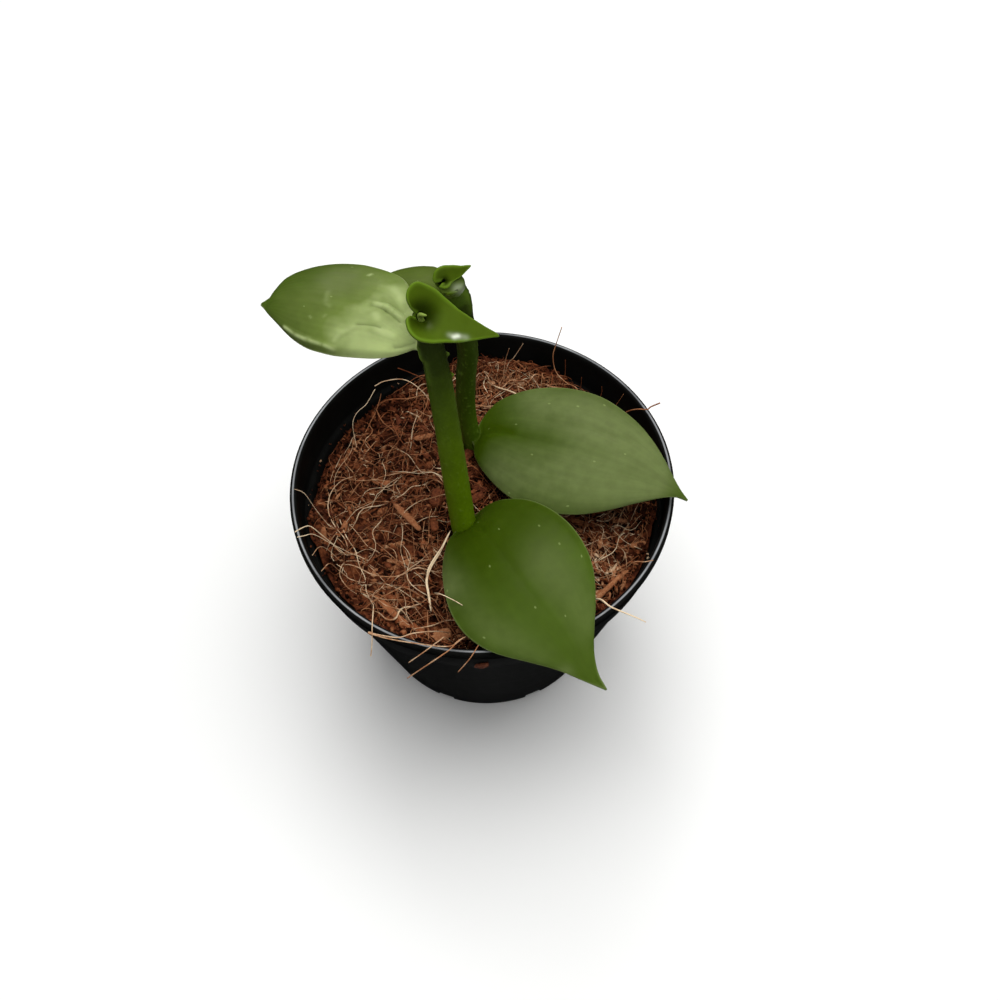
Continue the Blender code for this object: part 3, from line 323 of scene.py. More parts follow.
# Strands that stand up or hang over the rim: radius at both ends, tone, and points given by direction in
# degrees, radius and height. Points over the coir are lifted onto it, each radius is multiplied by the
# thinning. PLACED_STEPS and PLACED_SIDES are the points along and round a strand or long fibre.
STRAY_THINNING = 0.74
STRAY_LIFT = 1.2
PLACED_STEPS = 64
PLACED_SIDES = 6
STRAY_STRANDS = [
    (0.2, 0.22, 0.72, [(47, 48, 74), (50, 50, 80.6), (56, 51.5, 78.6), (61.2, 53, 79.8), (63.5, 55, 84.3),
                       (63.5, 57.2, 88.2), (62.6, 59.5, 95.4)]),
    (0.18, 0.34, 0.62, [(33, 48, 72), (30.5, 51.5, 80), (27.8, 54, 85.4), (25.3, 56, 88.1),
                        (23.8, 58.5, 88.3), (24, 60, 88.6), (23, 62.5, 90.5)]),
    (0.5, 0.22, 0.98, [(-55, 46, 73), (-53, 51.4, 81.5), (-52.2, 55.4, 87.6), (-51.6, 59.6, 88.2),
                       (-48.9, 66.3, 88), (-47.6, 69.4, 87)]),
    (0.14, 0.12, 0.95, [(-170, 49, 72), (-173.5, 52.6, 80), (-175.8, 55.2, 86.8), (-177.3, 58.2, 87.6)]),
    (0.2, 0.26, 0.92, [(-173.8, 46.2, 70), (-164.9, 45, 70), (-157.6, 43.8, 70), (-150.4, 44.8, 70),
                       (-145.1, 45.3, 70), (-139.4, 48, 70), (-133, 50.3, 76), (-128.1, 53.1, 83.6),
                       (-124.5, 57, 88), (-122.4, 60.4, 88), (-121, 63.4, 84.5), (-120.6, 65.6, 80)]),
    (0.3, 0.26, 0.76, [(-95, 48, 70), (-95.4, 51, 77.4), (-96.8, 54.8, 85.6), (-98, 56.7, 87.6),
                       (-99.8, 59.8, 88), (-104.4, 63.8, 85.6), (-109.8, 67.2, 78.8)]),
    (0.28, 0.22, 0.8, [(-101, 49, 70), (-101, 52.6, 78.4), (-102, 55.4, 86.6), (-103, 57, 87.6),
                       (-106.2, 61.2, 87.4), (-110, 64.2, 83.4)]),
    (0.26, 0.2, 0.74, [(-91, 49, 70), (-90.6, 53.6, 79), (-91, 56.2, 87.2), (-92, 58, 87.8),
                       (-94, 61.4, 87), (-97, 64, 83)]),
    (0.2, 0.34, 0.86, [(-103, 47, 72), (-106, 53, 84), (-111, 57.1, 88), (-114.4, 59.9, 88.1),
                       (-119.7, 61.6, 88), (-122.5, 62.2, 87.8)]),
    (0.2, 0.26, 0.8, [(-93, 49, 74), (-96, 55, 87.3), (-100, 58.6, 88), (-109, 59.8, 88),
                      (-116.7, 61.5, 88.3), (-122.2, 62.8, 88.6)]),
    (0.16, 0.26, 1.0, [(-156, 47, 74), (-160.8, 52.6, 84.5), (-162.6, 54.9, 87.7), (-162.7, 57, 88.1),
                       (-161.9, 59.8, 88.2)]),
    (0.12, 0.18, 0.96, [(-155, 45, 74), (-158, 50.6, 81.5), (-159.4, 54.6, 87.5), (-159.8, 57.4, 88),
                        (-160, 59.6, 88.2)]),
    (0.16, 0.16, 0.84, [(-135.8, 42.1, 70), (-145.5, 41.5, 70), (-150.5, 43.3, 70), (-153.8, 47.7, 70),
                        (-158.1, 52, 78.5), (-155.5, 54.6, 85.6), (-152.6, 57.6, 87.7)]),
    (0.14, 0.18, 0.82, [(-120.4, 35.1, 70), (-129.6, 39.8, 70), (-139.4, 43.3, 70), (-145.7, 48, 70),
                        (-149.9, 51.4, 76), (-149, 54, 84.6), (-146.4, 57.8, 87.7)]),
    (0.18, 0.24, 0.88, [(112, 40, 72), (116, 45, 79), (120.1, 50.6, 81), (126.3, 53.6, 81.4),
                        (130.5, 54.4, 81.2)]),
    (0.14, 0.2, 0.42, [(111, 43, 72), (113.4, 48.3, 79.6), (116.6, 51.6, 81.4), (120.6, 54, 84)]),
    (0.12, 0.14, 0.98, [(152, 47, 72), (146.5, 51, 77.6), (142, 52.2, 79), (137, 52.2, 79),
                        (131, 53.8, 80.4)]),
    (0.15, 0.13, 0.8, [(81, 48, 72), (80.6, 52, 79.5), (79.3, 53.4, 85.4)]),
    (0.18, 0.16, 0.86, [(81, 48, 72), (79.6, 52.6, 77.8), (77.4, 53.2, 81.4), (74.4, 54.2, 88)]),
    (0.18, 0.14, 0.5, [(57.4, 49, 72), (57.7, 53.2, 78.5), (58.1, 53.8, 87)]),
    (0.16, 0.12, 0.46, [(50.6, 48, 72), (50.8, 53, 77), (51.1, 53.8, 82.2)]),
    (0.14, 0.12, 0.5, [(41, 48, 72), (41.3, 53, 81), (42, 53.8, 84.7)]),
    (0.14, 0.14, 0.6, [(35, 47, 72), (33, 52.6, 84), (31.6, 54.2, 90.4)]),
    (0.16, 0.2, 0.76, [(-42, 44, 72), (-36.6, 51.4, 80), (-35.2, 54.8, 87.3), (-33.6, 57.6, 87.9),
                       (-31.9, 59.5, 88)]),
]

# Long fibres that lie on top of the coir: radius, tone and points in plan. Each radius is multiplied by the
# thinning, and the fibre sways up and down about its lift above the coir.
LONG_THINNING = 0.86
LONG_LIFT = 1.7
LONG_SWAY = 0.5
LONG_FIBRES = [
    (0.2, 0.84, [(-41.1, 11), (-46.2, 8.6), (-48.8, 4.9), (-49.6, -0.4), (-48.8, -5.2), (-46.7, -8.8),
                 (-43.8, -12.9), (-42.7, -16.6), (-42.8, -20.6), (-44.5, -22.3), (-44.9, -25.4),
                 (-42.6, -29.6), (-39, -33.4)]),
    (0.16, 0.82, [(-42.9, -6.9), (-40.9, -9.6), (-37.9, -14), (-35.7, -16.7), (-32.5, -19)]),
    (0.17, 0.76, [(-30.3, -16.1), (-27.9, -18), (-27.4, -21.1), (-28.8, -25.3), (-31.2, -29.8),
                  (-34.5, -34.7)]),
    (0.18, 0.78, [(-34.4, 8.8), (-29.7, 11.1), (-24.8, 11.6), (-19.6, 12.6), (-14, 11.6)]),
    (0.22, 0.88, [(-21.5, -46), (-16.2, -43.9), (-10.2, -41.7), (-6, -41.4)]),
    (0.15, 0.76, [(-28.9, 9.4), (-28.7, 4), (-27.8, -0.9)]),
    (0.16, 0.92, [(-27.9, 0.2), (-25.1, 3.3), (-22, 6.3), (-17.6, 7.4)]),
    (0.16, 0.74, [(-40.6, -1.2), (-35.5, 1.5), (-30.4, 0.2), (-26.6, -4)]),
    (0.17, 0.64, [(-34, 46), (-34.4, 42.2), (-35.3, 38.6), (-36.6, 35.1), (-40.6, 25.4), (-44.4, 14.5)]),
    (0.18, 0.66, [(-35.6, 38.6), (-34.3, 34.6), (-31.8, 30.6), (-28.9, 27.2)]),
    (0.18, 0.66, [(-18, 44), (-18.5, 38.6), (-21.2, 32.2), (-23.3, 25.2), (-25.6, 16.5)]),
    (0.2, 0.6, [(-14.6, 46), (-16.4, 37), (-15.8, 28), (-17.2, 19)]),
    (0.2, 0.74, [(-16.3, -3.9), (-17.1, -10.3), (-17.3, -16.3)]),
    (0.2, 0.8, [(-24.3, -38.9), (-20.3, -36.9), (-17.2, -35.3)]),
    (0.2, 0.8, [(-35.8, -32.1), (-30.3, -37.5), (-25.3, -39), (-23.3, -41.7), (-21, -45.9)]),
    (0.24, 0.7, [(-17.4, -39.2), (-17.3, -43.7), (-16.9, -49.4)]),
    (0.24, 0.74, [(2, 50), (8, 47.4), (14.6, 47.2), (22, 44.6), (30.6, 44)]),
    (0.22, 0.78, [(4.6, 46), (12.4, 50), (20.6, 47.4), (27.4, 46.8)]),
    (0.16, 0.66, [(31.6, -12.6), (36.4, -17.6), (43.4, -18.2), (50.4, -13)]),
    (0.16, 0.62, [(29.8, -26.6), (36.2, -23.8), (42.6, -25), (48.4, -21.4)]),
    (0.15, 0.68, [(34.4, -20), (32.4, -26.4), (33.2, -33.4)]),
    (0.17, 0.66, [(41.4, -22.6), (42.8, -28.4), (42.4, -33)]),
]

# Larger bark chips on the coir: place, heading in degrees, half length, width and thickness, tone. They lie
# a little above the bed, and CHIP_RINGS and CHIP_SIDES are their points along and round.
CHIP_LIFT = 1.3
CHIP_RINGS = 14
CHIP_SIDES = 10
BARK_CHIPS = [
    (-27.6, -40.1, -46, 8.4, 1.2, 0.5, 0.58), (-23.9, -7.4, -50, 6.4, 1.2, 0.6, 0.62),
    (-4.6, 17.8, 70, 3.2, 1.6, 0.7, 0.36), (-2.8, 0.3, 35, 3.4, 1.8, 0.8, 0.34),
    (-5.7, 8.0, 110, 2.8, 1.5, 0.7, 0.38), (-0.9, 4.0, -20, 2.6, 1.3, 0.6, 0.3),
    (-3.9, 29.6, 15, 2.6, 1.2, 0.5, 0.4), (-14.8, 0.6, 80, 3.4, 2.0, 0.8, 0.36),
    (-15.6, -9.6, 100, 2.6, 1.5, 0.6, 0.42), (-13.4, -47.0, 20, 3.2, 2.2, 0.6, 0.66),
    (-20.4, -45.6, -40, 2.6, 1.2, 0.5, 0.5), (-33.0, 8.0, -15, 3.0, 1.2, 0.5, 0.56),
    (-19.0, 24.0, 8, 3.4, 1.1, 0.5, 0.6), (-44.4, -8.0, 75, 2.4, 1.0, 0.5, 0.62),
    (38.6, -31.6, 43, 8.4, 0.9, 0.6, 0.64), (33.0, -24.0, 10, 3.2, 0.8, 0.5, 0.66),
    (48.6, -16.6, 16, 2.6, 1.0, 0.5, 0.62), (26.0, 40.0, 20, 3.4, 1.0, 0.5, 0.55),
]

# Specks on the ledge round the coir: how many, range of half length, height above the ledge, and their
# tones, dark pith to pale grit, with the share of each
LEDGE_SPECKS = 90
SPECK_RINGS = 5
SPECK_SIDES = 6
SPECK_SIZES = (0.14, 0.5)
SPECK_LIFT = 0.5
SPECK_TONES = (0.12, 0.24, 0.36, 0.85)
SPECK_SHARES = (0.4, 0.3, 0.2, 0.1)

# A crumb of bark that sticks to the outside of the wall, given like the chips, and its height and the way
# that it faces
WALL_CRUMB = (-1.1, -58.8, 4, 2.1, 1.4, 0.5, 0.32)
WALL_CRUMB_HEIGHT = 76.6
WALL_CRUMB_FACING = (0.0, -1.0, 0.1)

# Painted light and shade on the coir's strands, crumbs and splinters, lighter where light falls and darker
# in the leaves' shadows: place, half width and change of tone, and the painted shade along the wall
LIGHT_AND_SHADE_PATCHES = [
    (10.0, 50.0, 13.0, 0.08), (-30.0, 33.0, 11.0, -0.1), (4.0, 8.0, 12.0, -0.16),
    (38.0, -26.0, 13.0, 0.19), (36.0, -10.0, 9.0, 0.02), (-17.0, -2.0, 6.0, -0.12),
    (-15.0, -37.0, 5.0, -0.12), (-34.0, -34.0, 14.0, 0.05),
]
WALL_SHADE = -0.16
WALL_SHADE_WIDTH = 6

# Loose straws, in millimetres: points, half width, half thickness and tone
STRAWS = [
    ([(-10.2, -13.6, 78.2), (-13.7, -20.6, 76.8), (-16.3, -25.4, 76.6), (-17.6, -29.8, 76.4),
      (-17.0, -34.5, 75.8), (-16.2, -40.2, 75.4)], 0.38, 0.2, 1.0),
    ([(-12.6, -18.6, 77.4), (-15.0, -22.4, 77.2), (-17.0, -26.2, 77.0), (-17.5, -29.0, 76.8)],
     0.26, 0.18, 1.0),
    ([(-14.8, -38.2, 83.6), (-12.8, -40.8, 88.0), (-9.3, -42.9, 88.4), (-6.1, -45.0, 88.4)],
     0.14, 0.12, 1.0),
]
STRAW_STEPS = 48
STRAW_SIDES = 8

# Seeds of the random draws
COIR_SEED = 29
LUMP_SEED = 41
HIGHLIGHT_AND_DUST_SEED = 3
FRONT_STEM_SEED = 5
BACK_STEM_SEED = 8
BUD_SEED = 31

# Soft lights: name, place and side in metres, and power in watts
LIGHTS = [
    ("overhead_softbox", (0.1, 0.12, 1.15), 1.1, 14.0),
    ("rear_softbox", (-0.15, 0.8, 1.0), 0.5, 2.5),
    ("front_fill", (0.5, -0.9, 0.9), 0.8, 1.0),
]
LIT_POINT = (0, 0, 0.09)
ROOM_LIGHT = 0.3
FLOOR_HALF = 3

# Camera, in millimetres and degrees: it looks down at the pot from the front, a little to the right, and is
# turned by its roll
CAMERA_PLACE = (5.507, -203.38, 401.21)
CAMERA_PITCH = 58.172
CAMERA_ROLL = 1.514
CAMERA_LENS = 43.2
SENSOR_WIDTH = 36.0


def linear(hex_colour):
    """An sRGB hex colour as linear red, green and blue."""
    channels = [int(hex_colour[k : k + 2], 16) / 255 for k in (1, 3, 5)]
    return tuple(c / 12.92 if c <= 0.04045 else ((c + 0.055) / 1.055) ** 2.4 for c in channels)


def colour(name, description, hex_colour):
    """A colour property with this sRGB default."""
    return FloatVectorProperty(
        name=name, description=description, default=linear(hex_colour), subtype="COLOR", size=3,
        min=0.0, max=1.0,
    )


class OrchidPotSettings(bpy.types.PropertyGroup):
    plastic: colour("Plastic", "Colour of the moulded pot", "#10100f")
    # The crest colour is a painted highlight along the rolled rim
    crest_highlight: colour("Scuffed crest", "Colour of the worn crest of the rim", "#a6a8aa")
    # The outer wall's dust share is partly dust and partly a painted reflection of the bright floor
    dust: FloatProperty(
        name="Dust", description="Share of the outer wall's colour that is dust and scuffs",
        subtype="FACTOR", default=0.034, min=0.0, max=1.0,
    )
    segments: IntProperty(name="Segments", description="Faces round the pot", default=256, min=48, max=512)


class OrchidCoirSettings(bpy.types.PropertyGroup):
    # The darkest coir colour, which also paints the shade in the coir's gaps and on its side
    dark_and_gap_shade: colour("Gaps", "Colour of the deep gaps in the coir", "#140804")
    brown: colour("Pith", "Colour of the coir pith", "#532817")
    bark: colour("Bark", "Colour of the bark chips", "#844a2b")
    fibre: colour("Fibre", "Colour of most coir fibres", "#a87550")
    straw: colour("Straw", "Colour of the palest straws", "#ead2ae")
    short_strands: IntProperty(name="Short strands", description="Short fibres", default=1500, min=0)
    long_strands: IntProperty(name="Long strands", description="Long fibres", default=430, min=0)
    pale_strands: IntProperty(name="Pale strands", description="Pale fibres on top", default=60, min=0)
    bank_strands: IntProperty(name="Bank strands", description="Fibres on the bank", default=380, min=0)
    crumbs: IntProperty(name="Crumbs", description="Crumbs of coir pith", default=7000, min=0)
    splinters: IntProperty(name="Splinters", description="Small splinters of bark", default=380, min=0)
    strand_radius: FloatProperty(
        name="Strand radius", description="Radius of a coir fibre", subtype="DISTANCE", unit="LENGTH",
        default=0.13 * MM, min=0.02 * MM, max=0.6 * MM,
    )


class OrchidStemSettings(bpy.types.PropertyGroup):
    front: colour("Front stem", "Colour of the front stem", "#4c6405")
    back: colour("Back stem", "Colour of the back stem", "#2b3c06")
    shade: colour("Shade", "Colour of the darker upper part", "#283604")
    speck: colour("Specks", "Colour of the warts' tops", "#7d9a3c")
    # Also the colour of a painted highlight on the back stem below its sheath
    nub_and_highlight: colour("Nubs", "Colour of the nubs and of the ridges below the leaves", "#6d8a22")
    wax: colour("Wax", "Tint of the gloss on the wax", "#fffff0")
    wart_height: FloatProperty(
        name="Wart height", description="Height of the small warts on the stems", subtype="DISTANCE",
        unit="LENGTH", default=0.14 * MM, min=0.0, max=1.0 * MM,
    )


class OrchidLeafSettings(bpy.types.PropertyGroup):
    lower_base: colour("Lower leaf, base", "Colour of the lower leaves near the stem", "#344704")
    lower_middle: colour("Lower leaf, middle", "Colour of the lower leaves in the middle", "#3d5210")
    lower_tip: colour("Lower leaf, tip", "Colour of the lower leaves near the tip", "#3f5313")
    rear_base: colour("Lower back leaf, base", "Colour of the lower back leaf near the stem", "#374b04")
    rear_middle: colour("Lower back leaf, middle", "Colour of the lower back leaf in the middle", "#3f501a")
    rear_tip: colour("Lower back leaf, tip", "Colour of the lower back leaf near the tip", "#465322")
    # The upper front leaf's colours paint its light: pale where lit near the stem, darker to the tip
    upper_lit_base: colour("Upper leaf, base", "Colour of the upper front leaf near the stem", "#a0b070")
    upper_middle: colour("Upper leaf, middle", "Colour of the upper front leaf in the middle", "#5f7130")
    upper_tip: colour("Upper leaf, tip", "Colour of the upper front leaf near the tip", "#445719")
    upper_back: colour("Upper back leaf", "Colour of the upper back leaf", "#49591d")
    young: colour("Young leaf", "Colour of the young leaves", "#42560a")
    # Painted shade deep in the young leaves' throats
    young_throat_shade: colour("Young leaf, throat", "Colour of the young leaves' throats", "#172200")
    # Painted highlight along the young leaves' thick rounded margins
    young_rim_highlight: colour("Young leaf, margin", "Colour of the young leaves' thick margins", "#5d7a1c")
    sheath: colour("Young leaf, sheath", "Colour of the young leaves' outer side", "#43541a")
    # Painted highlight: the silvery patches on the young leaves
    painted_highlight: colour("Sheen", "Colour of the silvery wax on the young leaves", "#dfe6d0")
    # Painted highlight on the lit ridges between the creases and on the upper leaf's margin
    upper_ridge_highlight: colour("Upper leaf, ridges", "Colour of the ridges between the creases", "#b2c084")
    bud: colour("Growing tip", "Colour of the growing tip", "#7c9040")
    # Painted sheen: the greyish patches that stand in for the lower leaves' gloss
    painted_sheen_and_shade: colour("Bloom", "Colour of the greyish bloom on the lower leaves", "#5f6c3d")
    # Also the painted highlight along the margins of the lower leaves
    margin: colour("Margin", "Colour of the pale margins and pores", "#8e9e60")
    underside: colour("Underside", "Colour of the undersides", "#5f7438")
    wax: colour("Wax", "Tint of the gloss on the wax", "#ffffc8")
    rows: IntProperty(name="Rows", description="Rows of a blade", default=120, min=20, max=300)
    columns: IntProperty(name="Columns", description="Columns of a blade", default=76, min=20, max=200)


SETTINGS = {
    "orchid_pot": OrchidPotSettings,
    "orchid_coir": OrchidCoirSettings,
    "orchid_stem": OrchidStemSettings,
    "orchid_leaf": OrchidLeafSettings,
}


def unit(vectors):
    """The vectors at length one."""
    return vectors / np.linalg.norm(vectors, axis=-1, keepdims=True)


def smoothstep(values, low, high):
    """0 below low, 1 above high, and 3t^2 - 2t^3 between them."""
    t = np.clip((values - low) / (high - low), 0, 1)
    return t * t * (3 - 2 * t)


def smooth_path(points, count):
    """Rows at equal steps of a Catmull-Rom curve through the given rows, whose ends run straight on."""
    points = np.asarray(points, float)
    padded = np.concatenate([2 * points[:1] - points[1:2], points, 2 * points[-1:] - points[-2:-1]])
    along = np.linspace(0, len(points) - 1, count)
    first = np.minimum(along.astype(int), len(points) - 2)
    t = (along - first).reshape(-1, *[1] * (points.ndim - 1))
    a, b, c, d = (padded[first + k] for k in range(4))
    return 0.5 * (
        2 * b + (c - a) * t + (2 * a - 5 * b + 4 * c - d) * t**2 + (3 * b - a - 3 * c + d) * t**3
    )


def even_path(points, shares):
    """Points of the smooth path at these shares of its length."""
    fine = smooth_path(points, 30 * len(points))
    lengths = np.r_[0, np.cumsum(np.linalg.norm(np.diff(fine, axis=0), axis=1))]
    return np.stack([np.interp(shares * lengths[-1], lengths, fine[:, k]) for k in range(3)], -1)


def value_noise(points, size, seed):
    """Smooth random values from -1 to 1. Each corner of a cubic lattice has its own value, hashed from its
    whole-number place, and a point takes the smoothed mix of the eight corners round it."""
    cells = points / size
    base = np.floor(cells).astype(np.int64)
    share = cells - base
    share = share * share * (3 - 2 * share)
    total = np.zeros(points.shape[:-1])
    for corner in np.ndindex(2, 2, 2):
        mixed = ((base + corner) * np.array([73856093, 19349663, 83492791])).sum(-1) + seed * 668265263
        mixed = ((mixed ^ (mixed >> 13)) * 1274126177) & 0x7FFFFFFF
        mixed = ((mixed ^ (mixed >> 11)) * 69069) & 0xFFFFFF
        weight = np.prod(np.where(corner, share, 1 - share), axis=-1)
        total += weight * (mixed / float(0x7FFFFF) - 1)
    return total


def grid_faces(rows, columns, wrap=False):
    """Quads over a grid of points, row by row, whose normal is row step x column step."""
    i, j = np.meshgrid(np.arange(rows - 1), np.arange(columns if wrap else columns - 1), indexing="ij")
    k = (j + 1) % columns
    here, there = i * columns, (i + 1) * columns
    return np.stack([here + j, there + j, there + k, here + k], -1).reshape(-1, 4)


def ring_faces(count, rows, columns):
    """Faces of a number of stacks of closed rings: quads between the rings and a cap on each end."""
    first = (np.arange(count) * rows * columns)[:, None, None]
    around = grid_faces(rows, columns, wrap=True)[None] + first
    start = np.arange(columns)[None, None] + first
    end = start[..., ::-1] + (rows - 1) * columns
    return [around.reshape(-1, 4), start.reshape(-1, columns), end.reshape(-1, columns)]


def put_piece(name, points, faces, material, node, values=None):
    """Link one smooth mesh as a piece of the object. points are in millimetres, faces is a list of arrays
    of corners, and values holds an attribute for each point by its name."""
    points = np.ascontiguousarray(points * MM, np.float32).reshape(-1, 3)
    corners = np.concatenate([block.ravel() for block in faces]).astype(np.int32)
    sizes = np.concatenate([np.full(len(block), block.shape[1]) for block in faces])
    mesh = bpy.data.meshes.new(name)
    mesh.vertices.add(len(points))
    mesh.vertices.foreach_set("co", points.ravel())
    mesh.loops.add(len(corners))
    mesh.loops.foreach_set("vertex_index", corners)
    mesh.polygons.add(len(sizes))
    mesh.polygons.foreach_set("loop_start", (np.cumsum(sizes) - sizes).astype(np.int32))
    mesh.update(calc_edges=True)
    mesh.shade_smooth()
    for key, data in (values or {}).items():
        attribute = mesh.attributes.new(key, "FLOAT", "POINT")
        attribute.data.foreach_set("value", np.ascontiguousarray(data, np.float32).ravel())
    mesh.materials.append(material)
    piece = bpy.data.objects.new(name, mesh)
    bpy.context.scene.collection.objects.link(piece)
    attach(piece, "root")
    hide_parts(node)
    return piece


def shell(grid, half):
    """Points and faces of a closed skin round a middle surface. Each point moves by half the thickness
    along the surface's normal, up for the first skin and down for the second, and a strip joins their
    borders."""
    rows, columns = grid.shape[:2]
    normal = unit(np.cross(np.gradient(grid, axis=0), np.gradient(grid, axis=1)))
    offset = normal * half[..., None]
    count = rows * columns
    upper = grid_faces(rows, columns)
    index = np.arange(count).reshape(rows, columns)
    border = np.concatenate([index[:-1, 0], index[-1, :-1], index[:0:-1, -1], index[0, :0:-1]])
    ahead = np.roll(border, -1)
    strip = np.stack([ahead, border, border + count, ahead + count], -1)
    points = np.concatenate([(grid + offset).reshape(-1, 3), (grid - offset).reshape(-1, 3)])
    return points, [upper, upper[:, ::-1] + count, strip]


def tubes(paths, wide, thick, sides, across=None):
    """Rings of closed bars along many paths at once: point = path + in-plane side cos a + normal sin a.
    A path's plane has the normal across, or the direction in which the path spreads least. wide is the half
    width in that plane and thick the half thickness across it, for each path and ring."""
    if across is None:
        spread = paths - paths.mean(axis=1, keepdims=True)
        across = np.linalg.svd(np.einsum("nri,nrj->nij", spread, spread))[2][:, 2]
    tangent = unit(np.gradient(paths, axis=1))
    inward = unit(np.cross(tangent, across[:, None]))
    flat = np.cross(inward, tangent)
    turn = np.arange(sides) * 2 * math.pi / sides
    return (
        paths[:, :, None]
        + np.cos(turn)[:, None] * (inward * wide[..., None])[:, :, None]
        + np.sin(turn)[:, None] * (flat * thick[..., None])[:, :, None]
    )


def add(tree, kind, inputs=None, stops=None, **properties):
    """Add a node. properties are its own settings and stops the places and colours of its colour ramp.
    inputs gives each socket, by name or number, a value, a node's first output or one output."""
    made = tree.nodes.new(kind)
    for key, value in properties.items():
        setattr(made, key, value)
    for key, value in (inputs or {}).items():
        named = isinstance(key, str)
        socket = next(s for s in made.inputs if s.enabled and s.name == key) if named else made.inputs[key]
        if isinstance(value, bpy.types.Node):
            value = next(output for output in value.outputs if output.enabled)
        if isinstance(value, bpy.types.NodeSocket):
            tree.links.new(value, socket)
        else:
            socket.default_value = value
    if stops:
        elements = made.color_ramp.elements
        while len(elements) < len(stops):
            elements.new(0.5)
        for element, (place, tint) in zip(elements, stops):
            element.position = place
            element.color = (*tint, 1.0)
    return made


def blank_material(name):
    """A new material with an empty node tree."""
    material = bpy.data.materials.new(name)
    material.use_nodes = True
    material.node_tree.nodes.clear()
    return material, material.node_tree


def scaled(tint, factor):
    """A colour made lighter or darker by the factor."""
    return tuple(min(channel * factor, 1.0) for channel in tint)


def turned(section, segments):
    """Rings of a section of (radius, height) turned about Z: point = (r cos a, r sin a, h)."""
    radius, height = np.array(section, float).T
    turn = np.arange(segments) * 2 * math.pi / segments
    return np.stack([radius[:, None] * np.cos(turn), radius[:, None] * np.sin(turn),
                     np.repeat(height[:, None], segments, axis=1)], -1)


def arc(centre, radius, start, end, steps):
    """Points of an arc in the section's plane, angles in degrees."""
    angles = np.radians(np.linspace(start, end, steps))
    return [(centre[0] + radius * math.cos(a), centre[1] + radius * math.sin(a)) for a in angles]


def rounded(section, reach, steps=4):
    """The section with each corner turned into a short curve: a quadratic Bezier from a point before the
    corner to one after it, at most reach away and never past the middle of a side."""
    made = [section[0]]
    for before, corner, after in zip(section, section[1:], section[2:]):
        before, corner, after = (np.array(p, float) for p in (before, corner, after))
        back, on = before - corner, after - corner
        back = back * min(0.45, reach / np.linalg.norm(back))
        on = on * min(0.45, reach / np.linalg.norm(on))
        t = np.linspace(0, 1, steps)[:, None]
        made += [tuple(p) for p in corner + back * (1 - t) ** 2 + on * t**2]
    return [*made, section[-1]]


def pot_section():
    """The pot's section from the floor's middle, up the inside, over the rim and down to the base. A corner
    just above the slots, in line with the wall, keeps the cuts out of the tall faces."""
    lip = RIM_LIP / 2
    outer_foot = BASE_INNER_RADIUS + WALL
    step_in = BAND_FOOT_RADIUS - SHOULDER_STEP
    step_out = step_in + WALL
    above_slots = SLOT_HEIGHT + 0.7
    wall_foot = FLOOR_TOP + BASE_CHAMFER_RISE
    wall_top, outer_top = SHOULDER_HEIGHT - 0.5, SHOULDER_HEIGHT - 1.3
    inside = np.interp(above_slots, [wall_foot, wall_top], [BASE_INNER_RADIUS, step_in])
    outside = np.interp(above_slots, [BASE_CHAMFER_RISE, outer_top], [outer_foot, step_out])
    corners = [
        (AXIS_GAP, FLOOR_TOP), (BASE_INNER_RADIUS - BASE_CHAMFER, FLOOR_TOP),
        (BASE_INNER_RADIUS, wall_foot), (inside, above_slots), (step_in, wall_top),
        (BAND_FOOT_RADIUS, SHOULDER_HEIGHT + 0.1), (WALL_TOP_RADIUS, POT_HEIGHT - 1.6),
        *arc((RIM_RADIUS - lip, POT_HEIGHT - lip), lip, 150, 0, 22),
        (RIM_RADIUS, POT_HEIGHT - RIM_DEPTH), (WALL_TOP_RADIUS + WALL, POT_HEIGHT - RIM_DEPTH),
        (BAND_FOOT_RADIUS + BAND_FOOT_WALL, SHOULDER_HEIGHT - 0.2), (step_out, outer_top),
        (outside, above_slots), (outer_foot, BASE_CHAMFER_RISE), (outer_foot - BASE_CHAMFER, 0),
        (FOOT_RING_RADIUS, 0), (FOOT_RING_RADIUS - BASE_CHAMFER, FLOOR_RAISE),
        (HUB_RADIUS + BASE_CHAMFER, FLOOR_RAISE), (HUB_RADIUS, 0), (AXIS_GAP, 0),
    ]
    return rounded(corners, CORNER_REACH)


def slot_bars():
    """Rings of the slot cutters: bars that run out from the foot ring through the corner of the base."""
    turn = (np.arange(SLOT_COUNT) + 0.5) * 2 * math.pi / SLOT_COUNT
    out = np.stack([np.cos(turn), np.sin(turn), 0 * turn], -1)[:, None, None]
    side = np.stack([-np.sin(turn), np.cos(turn), 0 * turn], -1)[:, None, None]
    reach = np.array([FOOT_RING_RADIUS + 1.6, BASE_INNER_RADIUS + 4.0])[:, None, None]
    wide = np.array([1, -1, -1, 1])[:, None] * SLOT_WIDTH / 2
    height = np.array([-2.0, -2.0, SLOT_HEIGHT, SLOT_HEIGHT])[:, None] * np.array([0, 0, 1])
    return out * reach + side * wide + height


def drain_bars():
    """Rings of the drain cutters: round bars down through the raised ring of the floor."""
    turn = (np.arange(DRAIN_HOLES) + 0.25) * 2 * math.pi / DRAIN_HOLES
    centre = np.stack([np.cos(turn), np.sin(turn), 0 * turn], -1)[:, None, None] * DRAIN_CIRCLE_RADIUS
    around = -np.arange(DRAIN_HOLE_SIDES) * 2 * math.pi / DRAIN_HOLE_SIDES
    spokes = np.stack([np.cos(around), np.sin(around), 0 * around], -1) * DRAIN_HOLE_RADIUS
    height = np.array([[[0, 0, -1.0]], [[0, 0, FLOOR_TOP + 1.0]]])
    return centre + spokes + height


